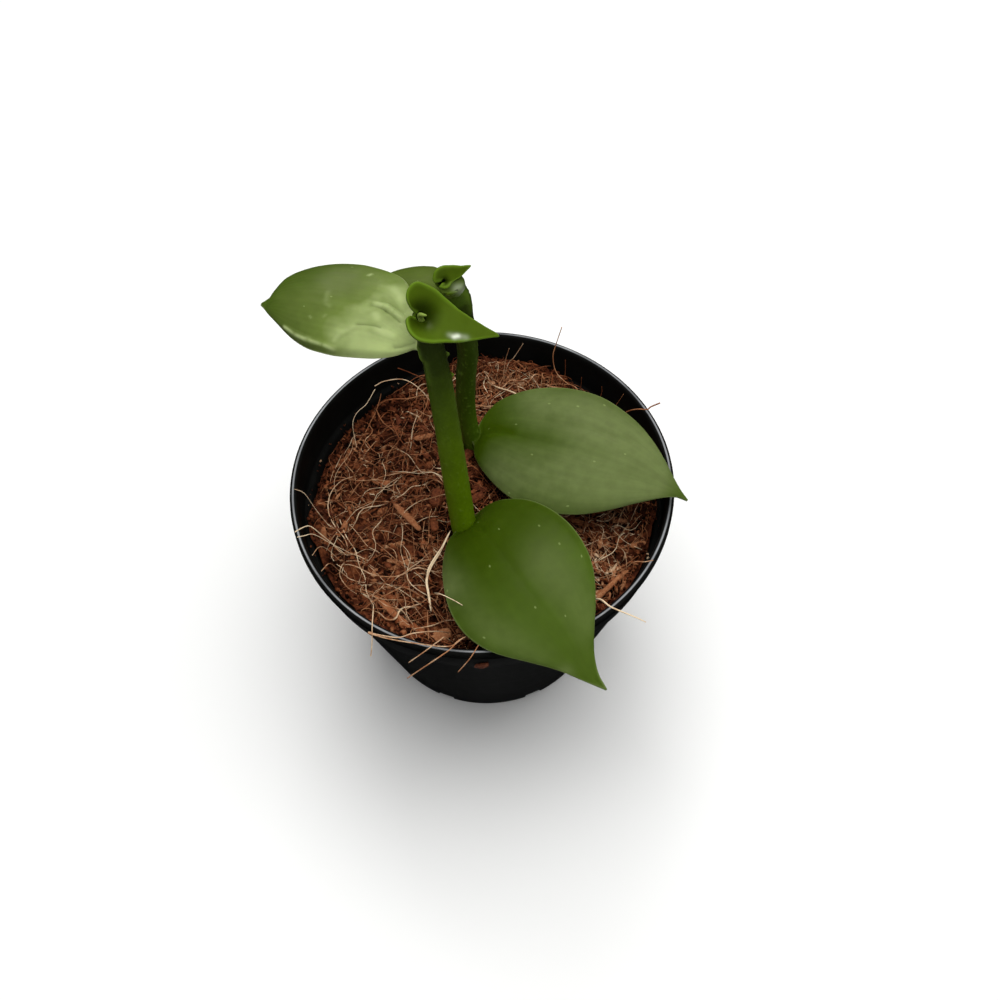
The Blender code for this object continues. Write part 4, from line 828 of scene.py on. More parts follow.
def cut(piece, bars):
    """Take bars, given as stacks of rings in millimetres, out of a piece."""
    mesh = bpy.data.meshes.new("bars")
    faces = [corners.tolist() for block in ring_faces(*bars.shape[:3]) for corners in block]
    mesh.from_pydata((bars.reshape(-1, 3) * MM).tolist(), [], faces)
    cutter = bpy.data.objects.new("bars", mesh)
    bpy.context.scene.collection.objects.link(cutter)
    modifier = piece.modifiers.new("holes", "BOOLEAN")
    modifier.operation = "DIFFERENCE"
    modifier.solver = "EXACT"
    modifier.object = cutter
    graph = bpy.context.evaluated_depsgraph_get()
    whole = bpy.data.meshes.new_from_object(piece.evaluated_get(graph))
    piece.modifiers.clear()
    piece.data = whole
    bpy.data.objects.remove(cutter, do_unlink=True)
    whole.set_sharp_from_angle(angle=math.radians(40))


def lump_waves():
    """Wave vectors, phases and heights of the lumps in the coir, longest first."""
    rng = np.random.default_rng(LUMP_SEED)
    lengths = np.geomspace(LUMP_LONGEST, LUMP_SHORTEST, LUMP_WAVES)
    headings = rng.uniform(0, 2 * math.pi, LUMP_WAVES)
    vectors = 2 * math.pi / lengths[:, None] * np.c_[np.cos(headings), np.sin(headings)]
    phases = rng.uniform(0, 2 * math.pi, LUMP_WAVES)
    return vectors, phases, LUMP_HEIGHT * (lengths / LUMP_LONGEST) ** 0.45


LUMPS = lump_waves()


def bank_share(angle):
    """How much of a bank stands in this direction, from 0 to 1: the highest exp(-(turn / half width)^4)."""
    turn = np.degrees(angle)[..., None] - np.array([bank[0] for bank in COIR_BANKS])
    turn = (turn + 180) % 360 - 180
    half_widths, shares = np.array([bank[1:] for bank in COIR_BANKS]).T
    return (shares * np.exp(-((turn / half_widths) ** 4))).max(-1)


def soil_height(x, y):
    """Height of the coir's top: a low mound, the banks that rise from BANK_START of its radius to its edge,
    and a sum of sine waves that fades towards the wall."""
    share = np.clip(np.hypot(x, y) / SOIL_EDGE_RADIUS, 0, 1)
    vectors, phases, heights = LUMPS
    waves = np.sin(x[..., None] * vectors[:, 0] + y[..., None] * vectors[:, 1] + phases)
    mound = SOIL_EDGE_HEIGHT + SOIL_DOME * (1 - share**2.4)
    bank = BANK_HEIGHT * bank_share(np.arctan2(y, x)) * smoothstep(share, BANK_START, 1)
    return mound + bank + (waves * heights).sum(-1) * (1 - 0.75 * share**6)


def edge_radius(angle):
    """Radius of the coir's edge in this direction: a bank that stands high enough reaches out further."""
    high = smoothstep(bank_share(angle), BANK_REACH_FROM, 1)
    return SOIL_EDGE_RADIUS + BANK_TOP_SHARE * BANK_REACH * high


def painted_light_and_shade(points):
    """Painted light and shade at these points, as a change of tone: a painted shade darker towards the
    wall, and the sum over the patches of amount * exp(-(distance / half width)^2)."""
    x, y = points[..., 0], points[..., 1]
    inner = SOIL_EDGE_RADIUS - WALL_SHADE_WIDTH
    total = WALL_SHADE * smoothstep(np.hypot(x, y), inner, SOIL_EDGE_RADIUS)
    for patch_x, patch_y, half_width, amount in LIGHT_AND_SHADE_PATCHES:
        total += amount * np.exp(-(((x - patch_x) ** 2 + (y - patch_y) ** 2) / half_width**2))
    return total


def laid_on_coir(paths, lift):
    """The paths with the points that are over the coir and lower than this above it lifted onto it."""
    inside = room_to_edge(paths[..., None, :]) > 0
    least = soil_height(paths[..., 0], paths[..., 1]) + lift
    return np.where(inside & (paths[..., 2] < least), least, paths[..., 2])


def room_to_edge(paths):
    """Least distance inside the coir's edge for each path."""
    x, y = paths[..., 0], paths[..., 1]
    return (edge_radius(np.arctan2(y, x)) - np.hypot(x, y)).min(axis=-1)


def coir_bed():
    """The coir plug: its top is soil_height with three sizes of noise, a bank's rim reaches over the pot's
    ledge, and its side follows the wall. Returns the rings and the tone of each point, which paints shade:
    darker in the low parts and pits of the top, and darkest on the side and under the rim."""
    turn = np.arange(COIR_SEGMENTS) * 2 * math.pi / COIR_SEGMENTS
    spokes = np.stack([np.cos(turn), np.sin(turn), 0 * turn], -1)
    reach = edge_radius(turn) - SOIL_EDGE_RADIUS
    shares = np.linspace(0, 1, COIR_RINGS)[:, None] ** 0.9
    radius = shares * (edge_radius(turn) - AXIS_GAP) + AXIS_GAP
    top = radius[..., None] * spokes
    grain = [value_noise(top, size, seed) for seed, (size, _) in enumerate(COIR_GRAIN)]
    relief = sum(height * noise for (_, height), noise in zip(COIR_GRAIN, grain))
    relief -= PIT_DEPTH * smoothstep(grain[0], 0.15, 0.7)
    relief *= 1 - 0.75 * smoothstep(radius, SOIL_EDGE_RADIUS - 2, SOIL_EDGE_RADIUS)
    top[..., 2] = soil_height(top[..., 0], top[..., 1]) + relief
    above_ledge = SHOULDER_HEIGHT + LEDGE_ROOM
    under = np.stack([spokes * (SOIL_EDGE_RADIUS + share * reach)[:, None] for share in (1.15, 0.0)])
    lowered = top[-1, :, 2] - np.array([[0.7], [1.1]])
    under[..., 2] = np.where(reach > 0, np.maximum(lowered, above_ledge), lowered)
    side = [(SOIL_EDGE_RADIUS - 0.2, SOIL_EDGE_HEIGHT - 2.4), (BASE_INNER_RADIUS - 0.3, FLOOR_TOP + 2.3),
            (BASE_INNER_RADIUS - 2.3, FLOOR_TOP + 0.3), (AXIS_GAP, FLOOR_TOP + 0.3)]
    # Painted shade: darker where the top is lower, darkest on the side and under the rim
    tone = np.concatenate([0.34 + 0.26 * relief, np.zeros((len(side) + len(under), COIR_SEGMENTS))])
    return np.concatenate([top, under, turned(side, COIR_SEGMENTS)]), np.clip(tone, 0, 1)


def clear_of_stems(place, room):
    """True for each path whose points stay this far from both stems where they leave the coir."""
    free = np.full(place.shape[0], True)
    for stem, radii in (FRONT, BACK):
        foot = smooth_path(stem, PATH_STEPS)
        foot = foot[np.abs(foot[:, 2] - SOIL_EDGE_HEIGHT - SOIL_DOME).argmin(), :2]
        free &= np.linalg.norm(place[..., :2] - foot, axis=-1).min(axis=1) > radii.max() + room
    return free


def lying_strands(rng, count, rings, length, rise, free_share, sector, inner):
    """Centre lines of strands that lie on the coir, in a sector in degrees and outside an inner share of
    its radius. Each heads in a random direction that turns by a random bend and wave along it, and its
    height is the coir's plus half a sine arch whose ends sink in, or one end for those that end free."""
    tries = 2 * count + 20
    steps = np.linspace(0, 1, rings)
    reach = (SOIL_EDGE_RADIUS - 0.5) * np.sqrt(rng.uniform(inner**2, 1, tries))
    angle = np.radians(rng.uniform(*sector, (tries, 1)))
    heading, phase = rng.uniform(0, 2 * math.pi, (2, tries, 1))
    size = rng.uniform(*length, (tries, 1))
    bend, wave = rng.normal(0, STRAND_BEND, (tries, 1)), rng.normal(0, STRAND_WAVE, (tries, 1))
    turning = heading + bend * (steps - 0.5) + wave * np.sin(2 * math.pi * steps * 1.7 + phase)
    walk = np.stack([np.cos(turning), np.sin(turning)], -1) * (size / (rings - 1))[..., None]
    plan = np.cumsum(walk, axis=1)
    start = reach[:, None] * np.concatenate([np.cos(angle), np.sin(angle)], -1)
    plan += (start - plan[:, rings // 2])[:, None]
    free = rng.uniform(0, 1, (tries, 1)) < free_share
    arch = rng.uniform(*rise, (tries, 1)) * np.sin(np.pi * steps * np.where(free, 0.66, 1.0))
    layer = rng.uniform(*STRAND_LAYERS, (tries, 1))
    sunk = smoothstep(steps, 0.25, 0.0) + np.where(free, 0, smoothstep(steps, 0.75, 1.0))
    height = soil_height(plan[..., 0], plan[..., 1]) + layer + arch - STRAND_SINK * sunk
    paths = np.concatenate([plan, height[..., None]], -1)
    chosen = (room_to_edge(paths) > -STRAND_OVERHANG) & clear_of_stems(paths, STRAND_ROOM)
    return paths[chosen][:count]


def put_coir(name, points, material, tones):
    """Put stacks of closed rings that stand for the coir's node, with the tone of each point."""
    return put_piece(name, points, ring_faces(*points.shape[:3]), material, "coir_substrate",
                     {"tone": tones})


def strand_piece(name, rng, paths, radius, tone, material):
    """One piece of thin strands along these paths, each with its own radius and tone."""
    count, rings = paths.shape[:2]
    taper = 1 - 0.6 * np.abs(np.linspace(-1, 1, rings)) ** 3
    half = radius * rng.lognormal(0, 0.32, (count, 1)) * taper
    points = tubes(paths, half, half, STRAND_SIDES)
    own = np.clip(rng.normal(*tone, (count, 1, 1)), 0, 1)
    along = 0.06 * np.sin(np.linspace(0, 9, rings)[:, None] + own * 40)
    # The tone takes the coir's painted light and shade
    return put_coir(name, points, material, np.clip(own + along + painted_light_and_shade(points), 0, 1))


def scattered_bars(rng, count, rings, sides, half_sizes, tilt, lift):
    """Rings of short bars that lie about on the coir: a straight path whose sides swell in the middle, with
    every point moved a little at random. half_sizes are the ranges of half length, width and thickness."""
    tries = 2 * count + 20
    angle, heading = rng.uniform(-math.pi, math.pi, (2, tries))
    reach = edge_radius(angle) * np.sqrt(rng.uniform(0, 1, tries))
    lean, roll = rng.normal(0, tilt, (2, tries))
    half = np.stack([low * (high / low) ** rng.uniform(0, 1, tries) for low, high in half_sizes], -1)
    plan = reach[:, None] * np.stack([np.cos(angle), np.sin(angle)], -1)
    centre = np.c_[plan, soil_height(plan[:, 0], plan[:, 1]) + rng.uniform(*lift, tries)]
    level = np.stack([-np.sin(heading), np.cos(heading), 0 * heading], -1)
    along = np.stack([np.cos(heading) * np.cos(lean), np.sin(heading) * np.cos(lean), np.sin(lean)], -1)
    across = unit(np.cross(along, level) + level * roll[:, None])
    steps = np.linspace(-1, 1, rings)
    paths = centre[:, None] + along[:, None] * steps[:, None] * half[:, :1, None]
    swell = np.sqrt(1.12 - steps**2)
    chosen = clear_of_stems(paths, BAR_ROOM) & (room_to_edge(paths) > -BAR_OVERHANG)
    bars = tubes(paths, half[:, 1:2] * swell, half[:, 2:] * swell, sides, across)[chosen][:count]
    size = half[chosen][:count, 1:].min(axis=1)[:, None, None, None]
    return bars + rng.uniform(-0.3, 0.3, bars.shape) * size


def placed_chips(rng, chips, rings, sides, facing=(0.12, 0.05, 1.0), height=None):
    """Rings of bark chips given by place, heading, half length, width and thickness: flat bars with blunt
    ends and uneven sides, every point moved a little at random. They lie on the coir, or at the height."""
    x, y, heading, long, wide, thick, _ = np.array(chips).T
    heading = np.radians(heading)
    steps = np.linspace(-1, 1, rings)
    along = np.stack([np.cos(heading), np.sin(heading), 0 * heading], -1)
    centre = np.stack([x, y, soil_height(x, y) + CHIP_LIFT if height is None else height + 0 * x], -1)
    paths = centre[:, None] + along[:, None] * steps[:, None] * long[:, None, None]
    paths[..., 2] += 0.25 * np.sin(3 * steps + x[:, None])
    swell = (1 - np.abs(steps) ** 5 * 0.55) * (1 + 0.16 * rng.uniform(-1, 1, (len(chips), rings)))
    across = np.broadcast_to(facing, centre.shape)
    bars = tubes(paths, wide[:, None] * swell, thick[:, None] * swell, sides, unit(across))
    return bars + rng.uniform(-0.18, 0.18, bars.shape) * thick[:, None, None, None]


def per_bar(values, bars):
    """A value for each bar, given to every one of its points."""
    return np.broadcast_to(np.asarray(values)[:, None, None], bars.shape[:3])


def polar_path(points, count):
    """A smooth path through points given by direction, radius and height."""
    direction, radius, height = np.array(points, float).T
    x, y = radius * np.cos(np.radians(direction)), radius * np.sin(np.radians(direction))
    return smooth_path(np.stack([x, y, height], -1), count)


def bumps(points, lumps):
    """Sum of soft ridges: height times exp(-(distance to the segment / half width)^2) for each lump, which
    is (start, end, height, half width)."""
    total = np.zeros(points.shape[:-1])
    for start, end, height, half_width in lumps:
        start, end = np.array(start, float), np.array(end, float)
        run = end - start
        share = np.clip((points - start) @ run / max(run @ run, 1e-9), 0, 1)
        gap = np.linalg.norm(points - start - share[..., None] * run, axis=-1)
        total += height * np.exp(-((gap / half_width) ** 2))
    return total


def streaks(points, marks):
    """Largest of soft streaks: strength times exp(-(distance to the segment / half width)^2), faded towards
    the segment's ends, for each mark, which is (start, end, strength, half width)."""
    most = np.zeros(points.shape[:-1])
    for start, end, strength, half_width in marks:
        run = end - start
        share = (points - start) @ run / (run @ run)
        gap = np.linalg.norm(points - start - np.clip(share, 0, 1)[..., None] * run, axis=-1)
        faded = np.clip(1.15 - (2 * share - 1) ** 2, 0, 1)
        most = np.maximum(most, strength * faded * np.exp(-((gap / half_width) ** 2)))
    return most


def stem_rings(stem, wart_height, lumps, seed):
    """Rings of a stem: a round bar along its path, moved out by small warts, low ribs and the given lumps.
    Also returns each point's share of the length, lump and wart."""
    points, radii = stem
    centres = smooth_path(points, STEM_RINGS)
    radius = smooth_path(radii[:, None], STEM_RINGS)
    tangent = unit(np.gradient(centres, axis=0))
    side = unit(np.cross(tangent, (0.31, 0.95, 0.05)))
    other = np.cross(side, tangent)
    turn = (np.arange(STEM_SIDES) * 2 * math.pi / STEM_SIDES)[:, None]
    spokes = np.cos(turn) * side[:, None] + np.sin(turn) * other[:, None]
    skin = centres[:, None] + spokes * radius[:, None]
    warts = smoothstep(value_noise(skin, 0.75, seed), 0.42, 0.8) * wart_height
    ribs = 0.09 * value_noise(skin * (1, 1, 0.12), 2.4, seed + 1) + 0.1 * value_noise(skin, 9.0, seed + 2)
    lump_and_highlight = bumps(skin, lumps)
    along = np.broadcast_to(np.linspace(0, 1, STEM_RINGS)[:, None], lump_and_highlight.shape)
    values = {"along": along, "lump_and_highlight": np.clip(lump_and_highlight, 0, 1), "wart": np.clip(warts / wart_height, 0, 1)}
    return skin + spokes * (warts + ribs + lump_and_highlight)[..., None], values


def clasp_arc(leaf, stem, across, stand_off):
    """Points round the side of the stem that the leaf grows from, from its right to its left."""
    points, radii = stem
    height, facing, left, right = leaf["clasp"]
    axis = smooth_path(points, PATH_STEPS)
    nearest = np.abs(axis[:, 2] - height).argmin()
    radius = np.interp(nearest / (PATH_STEPS - 1), np.linspace(0, 1, len(radii)), radii) + stand_off
    angles = np.radians(facing + np.interp(across, [-1, 0, 1], [-right, 0, left]))
    return axis[nearest] + radius * np.stack([np.cos(angles), np.sin(angles), 0 * angles], -1)


def on_blade(kind, flat, marks, scale):
    """The sum or largest, as kind gives it, of marks whose ends are shares of the blade's length and half
    width, at the points of the blade laid flat."""
    return kind(flat, [(np.multiply(start, scale), np.multiply(end, scale), *rest)
                       for start, end, *rest in marks])


def blade(leaf, stem, rows, columns):
    """Middle surface, half thickness and values of a leaf. Each row runs from the right margin to the left
    one: chord + bow (1 - x^2), where the bow points to the tip and up. The first rows bend into the arc
    that clasps the stem. Veins, a low midrib channel, creases and slow waves move it along its normal."""
    shares = (1 - np.cos(np.pi * np.linspace(0, 1, rows))) / 2
    across = np.sin(np.linspace(-1, 1, columns) * math.pi / 2)
    hold = clasp_arc(leaf, stem, across, -0.5)
    tip = np.array(leaf["tip"])
    end = unit(np.array(leaf["left"][-1]) - np.array(leaf["right"][-1])) * 0.3
    left = even_path(np.vstack([hold[-1], leaf["left"], tip + end]), shares)
    right = even_path(np.vstack([hold[0], leaf["right"], tip - end]), shares)
    middle = (left + right) / 2
    width = np.linalg.norm(left - right, axis=1)
    forward = unit(np.gradient(middle, axis=0))
    upward = unit(np.cross(left - right, -forward))
    swell = (width / width.max())[:, None]
    bow = forward * leaf["advance"] * swell + upward * leaf["arch"] * swell
    share = ((across + 1) / 2)[None, :, None]
    chords = right[:, None] * (1 - share) + left[:, None] * share
    free = smoothstep(shares, 0, CLASP_SHARE)[:, None]
    grid = chords + (hold - chords[0]) * (1 - free[..., None])
    grid = grid + bow[:, None] * (1 - across**2)[None, :, None] * free[..., None]

    length = np.linalg.norm(np.diff(middle, axis=0), axis=1).sum()
    half_width = width[:, None] / 2
    along = np.broadcast_to(shares[:, None], grid.shape[:2])
    sides = np.broadcast_to(across, grid.shape[:2])
    edge = np.minimum((1 - np.abs(sides)) * half_width, (1 - along) * length + 0.02)
    flat = np.stack([along * length, sides * half_width], -1)
    scale = length, width.max() / 2
    creases = on_blade(bumps, flat, leaf["creases"], scale)
    # Painted highlights along the lit crease ridges
    lights = on_blade(streaks, flat, leaf["lights"], scale)
    # Patches of painted sheen, and painted shade where negative
    sheen_and_shade_patches = on_blade(bumps, flat, leaf["sheen_and_shade_patches"], scale)
    normal = unit(np.cross(np.gradient(grid, axis=0), np.gradient(grid, axis=1)))
    roll = np.where(sides > 0, leaf["roll"][0], leaf["roll"][1]) * smoothstep(np.abs(sides), 0.84, 1.04)
    roll = roll * smoothstep(1 - along, 0.02, 0.16)
    relief = 0.008 * np.cos(2 * math.pi * sides * width.max() / 2 / VEIN_SPACING)
    relief = relief - 0.16 * np.exp(-((sides / 0.05) ** 2)) * (1 - along) + creases
    seed = leaf["seed"]
    relief = relief + 0.22 * value_noise(grid, 11.0, seed) + 0.06 * value_noise(grid, 4.0, seed + 1)
    grid = grid + normal * (relief * free * smoothstep(edge, 0, 1.6) - roll * free)[..., None]
    thin = 1 - (1 - LEAF_EDGE_SHARE) * np.abs(sides) ** 4
    round_off = np.sqrt(1 - (1 - np.clip(edge / 0.55, 0.02, 1)) ** 2)
    values = {"along": along, "across": sides, "edge": edge, "light": lights,
              "painted_sheen_and_shade": np.clip(sheen_and_shade_patches, -1, 1), "painted_highlight": 0 * edge}
    return grid, leaf["thickness"] / 2 * thin * round_off, values


def heart(leaf, stem):
    """Middle surface, half thickness and values of a young leaf. Its sheath is a split tube on the stem's
    end that narrows like an egg to the throat. There it flares into a heart, whose points are
    throat + r (ahead cos a + far sin a) + up (lift - depth)."""
    points, radii = stem
    rows, columns, seed = leaf["rows"], leaf["columns"], leaf["seed"]
    throat = np.array(leaf["throat"])
    ahead = unit(np.array(leaf["tip"]) - throat)
    far = np.array(leaf["far_side"])
    far = unit(far - ahead * (far @ ahead))
    up = np.cross(ahead, far)
    outline = smooth_path(np.array(leaf["outline"], float), 600)
    turn = np.linspace(-1, 1, columns)
    angle = np.sign(turn) * np.abs(turn) ** 1.35 * math.radians(leaf["outline"][-1][0])
    cosine, sine = np.cos(angle)[:, None], np.sin(angle)[:, None]
    reach = np.interp(angle, np.radians(outline[:, 0]), outline[:, 1])
    narrow = leaf["throat_radius"]
    heading = unit(points[-1] - points[-2])
    foot_ahead = unit(ahead - heading * (ahead @ heading))
    foot_far = np.cross(heading, foot_ahead)
    grid = []
    for rise in (-SHEATH_REACH, 0.2, SHEATH_REACH):
        ring = (radii[-1] - 0.1) * (foot_ahead * cosine + foot_far * sine)
        grid.append(points[-1] + heading * rise + ring)
    mouth = throat - up * leaf["depth"]
    for share in (0.4, 0.72):
        centre = (points[-1] + heading * SHEATH_REACH) * (1 - share) + mouth * share
        side_ahead = unit(foot_ahead * (1 - share) + ahead * share)
        side_far = unit(foot_far * (1 - share) + far * share)
        radius = narrow + (radii[-1] - narrow) * (1 - share**2) ** 0.6
        grid.append(centre + radius * (side_ahead * cosine + side_far * sine))
    for share in np.linspace(0, 1, 12) ** 1.25:
        radius = narrow + (reach - narrow) * share
        depth = leaf["depth"] * np.exp(-(radius - narrow) / leaf["depth_reach"])
        height = leaf["lift"] * np.sin(angle) ** 2 * share**2 - depth
        grid.append(throat + radius[:, None] * (ahead * cosine + far * sine) + up * height[:, None])
    grid = smooth_path(np.array(grid), rows)
    steps = np.r_[0, np.cumsum(np.linalg.norm(np.diff(grid, axis=0), axis=2).mean(axis=1))]
    to_margin = np.linalg.norm(grid - grid[-1], axis=2)
    to_slit = np.minimum(*(np.linalg.norm(grid - grid[:, side, None], axis=2) for side in (0, -1)))
    edge = np.minimum(to_margin, to_slit)
    normal = unit(np.cross(np.gradient(grid, axis=0), np.gradient(grid, axis=1)))
    relief = 0.12 * value_noise(grid, 5.0, seed) + 0.035 * value_noise(grid, 1.6, seed + 1)
    grid = grid + normal * (relief * smoothstep(edge, 0, 1.0))[..., None]
    half = leaf["thickness"] / 2 * np.sqrt(1 - (1 - np.clip(edge / 0.4, 0.03, 1)) ** 2)
    half *= 0.15 + 0.85 * smoothstep(steps, 0, 3.5)[:, None]
    along = np.broadcast_to((steps / steps[-1])[:, None], edge.shape)
    across = np.broadcast_to(turn, edge.shape)
    # Painted shade in the throat, fading out between the distances in shaded
    throat_shade = 1 - smoothstep(np.linalg.norm(grid - throat, axis=-1), *leaf["shaded"])
    # Painted highlights where sheen lists them
    painted_highlight = np.clip(bumps(grid, leaf["painted_highlight"]), 0, 1)
    values = {"along": along, "across": across, "edge": edge, "light": 0 * edge,
              "painted_sheen_and_shade": throat_shade, "painted_highlight": painted_highlight}
    return grid, half, values


def skin_piece(name, surface, material, node):
    """A leaf's two skins as one closed piece, with top at 1 on the upper one."""
    grid, half, values = surface
    points, faces = shell(grid, half)
    both = {key: np.concatenate([data.ravel(), data.ravel()]) for key, data in values.items()}
    both["top"] = np.repeat([1.0, 0.0], grid.shape[0] * grid.shape[1])
    return put_piece(name, points, faces, material, node, both)


def pot_plastic(settings):
    """Polypropylene, injection moulded: black and satin, with the fine grain of the mould and a little
    dust, which dulls the gloss in patches. A pale grey highlight is painted along the crest of the rim,
    and the outer wall is lightened by dust and by a painted reflection of the floor."""
    material, tree = blank_material("moulded_black_polypropylene")
    place = add(tree, "ShaderNodeTexCoord").outputs["Object"]
    dust = add(tree, "ShaderNodeTexNoise", {"Vector": place, "Scale": 1 / (9 * MM), "Detail": 6.0,
                                            "Roughness": 0.7})
    specks = add(tree, "ShaderNodeTexNoise", {"Vector": place, "Scale": 1 / (0.9 * MM), "Detail": 2.0})
    # Painted highlight on the crest, and dust with a painted floor reflection on the outer wall
    highlight_and_dust = add(tree, "ShaderNodeAttribute", attribute_name="highlight_and_dust").outputs["Fac"]
    tint = add(tree, "ShaderNodeValToRGB", {"Fac": dust},
               [(0.42, settings.plastic), (0.75, scaled(settings.plastic, 1.7))])
    tint = add(tree, "ShaderNodeMix", {"Factor": highlight_and_dust, "A": tint, "B": (*settings.crest_highlight, 1.0)},
               data_type="RGBA")
    gloss = add(tree, "ShaderNodeMapRange", {"Value": dust, "To Min": 0.3, "To Max": 0.5})
    fine = add(tree, "ShaderNodeBump", {"Height": specks, "Strength": 0.12, "Distance": 0.05 * MM})
    shader = add(tree, "ShaderNodeBsdfPrincipled", {
        "Base Color": tint, "Roughness": gloss, "Normal": fine, "IOR": 1.49, "Specular IOR Level": 0.02,
    })
    add(tree, "ShaderNodeOutputMaterial", {"Surface": shader})
    return material


def coir_finish(name, settings, grain, roughness, lightness):
    """Dry coir or bark: matt, its colour read from each point's tone, which runs from the darkest, also the
    painted shade of the gaps, through red-brown pith and tan fibre to pale straw, and broken up by noise
    with this grain size."""
    material, tree = blank_material(name)
    place = add(tree, "ShaderNodeTexCoord").outputs["Object"]
    tone = add(tree, "ShaderNodeAttribute", attribute_name="tone").outputs["Fac"]
    noise = add(tree, "ShaderNodeTexNoise", {"Vector": place, "Scale": 1 / grain, "Detail": 4.0,
                                             "Roughness": 0.65})
    change = add(tree, "ShaderNodeMapRange", {"Value": noise, "From Min": 0.25, "From Max": 0.75,
                                              "To Min": -0.16, "To Max": 0.16})
    mixed = add(tree, "ShaderNodeMath", {0: tone, 1: change}, operation="ADD")
    stops = [(0.0, settings.dark_and_gap_shade), (0.3, settings.brown), (0.52, settings.bark), (0.75, settings.fibre),
             (1.0, settings.straw)]
    stops = [(at, scaled(tint, lightness)) for at, tint in stops]
    tint = add(tree, "ShaderNodeValToRGB", {"Fac": mixed}, stops)
    rough = add(tree, "ShaderNodeBump", {"Height": noise, "Strength": 0.5, "Distance": 0.2 * MM})
    shader = add(tree, "ShaderNodeBsdfPrincipled", {
        "Base Color": tint, "Roughness": roughness, "Normal": rough, "IOR": 1.4, "Specular IOR Level": 0.35,
    })
    add(tree, "ShaderNodeOutputMaterial", {"Surface": shader})
    return material


def stem_skin(name, settings, body, crown):
    """Succulent stem: smooth, waxy and deep green, with fine pale specks on the warts. Its light and shade
    are
    painted: the body's colour is lightest at the foot and goes over to a darker green high up, in the
    leaves' shade. The top end has the crown's colour."""
    material, tree = blank_material(name)
    place = add(tree, "ShaderNodeTexCoord").outputs["Object"]
    along, lump_and_highlight, wart = (
        add(tree, "ShaderNodeAttribute", attribute_name=key).outputs["Fac"]
        for key in ("along", "lump_and_highlight", "wart")
    )
    cloud = add(tree, "ShaderNodeTexNoise", {"Vector": place, "Scale": 1 / (8 * MM), "Detail": 2.0})
    grain = add(tree, "ShaderNodeTexNoise", {"Vector": place, "Scale": 1 / (0.7 * MM), "Detail": 3.0})
    # Painted light and shade: lighter at the foot, darker high up under the leaves
    height = add(tree, "ShaderNodeMath", {0: cloud, 1: 0.16, 2: along}, operation="MULTIPLY_ADD")
    green = add(tree, "ShaderNodeValToRGB", {"Fac": height},
                [(0.43, scaled(body, 2.6)), (0.55, scaled(body, 1.6)), (0.7, scaled(body, 1.12)),
                 (0.96, settings.shade), (1.0, crown)])
    patch = add(tree, "ShaderNodeMapRange", {"Value": grain, "From Min": 0.3, "From Max": 0.7,
                                             "To Min": 0.9, "To Max": 1.1})
    green = add(tree, "ShaderNodeVectorMath", {0: green, 1: patch}, operation="MULTIPLY")
    fade = add(tree, "ShaderNodeMapRange", {"Value": along, "From Min": 0.8, "From Max": 0.45,
                                            "To Max": 0.45})
    wart = add(tree, "ShaderNodeMath", {0: wart, 1: fade}, operation="MULTIPLY")
    green = add(tree, "ShaderNodeMix", {"Factor": wart, "A": green, "B": (*settings.speck, 1.0)},
                data_type="RGBA")
    # The nubs' colour, which also paints a highlight on the back stem
    green = add(tree, "ShaderNodeMix", {"Factor": lump_and_highlight, "A": green, "B": (*settings.nub_and_highlight, 1.0)},
                data_type="RGBA")
    skin = add(tree, "ShaderNodeBump", {"Height": grain, "Strength": 0.15, "Distance": 0.1 * MM})
    shader = add(tree, "ShaderNodeBsdfPrincipled", {
        "Base Color": green, "Roughness": 0.42, "Normal": skin, "Specular IOR Level": 0.15,
        "Specular Tint": (*settings.wax, 1.0),
    })
    add(tree, "ShaderNodeOutputMaterial", {"Surface": shader})
    return material


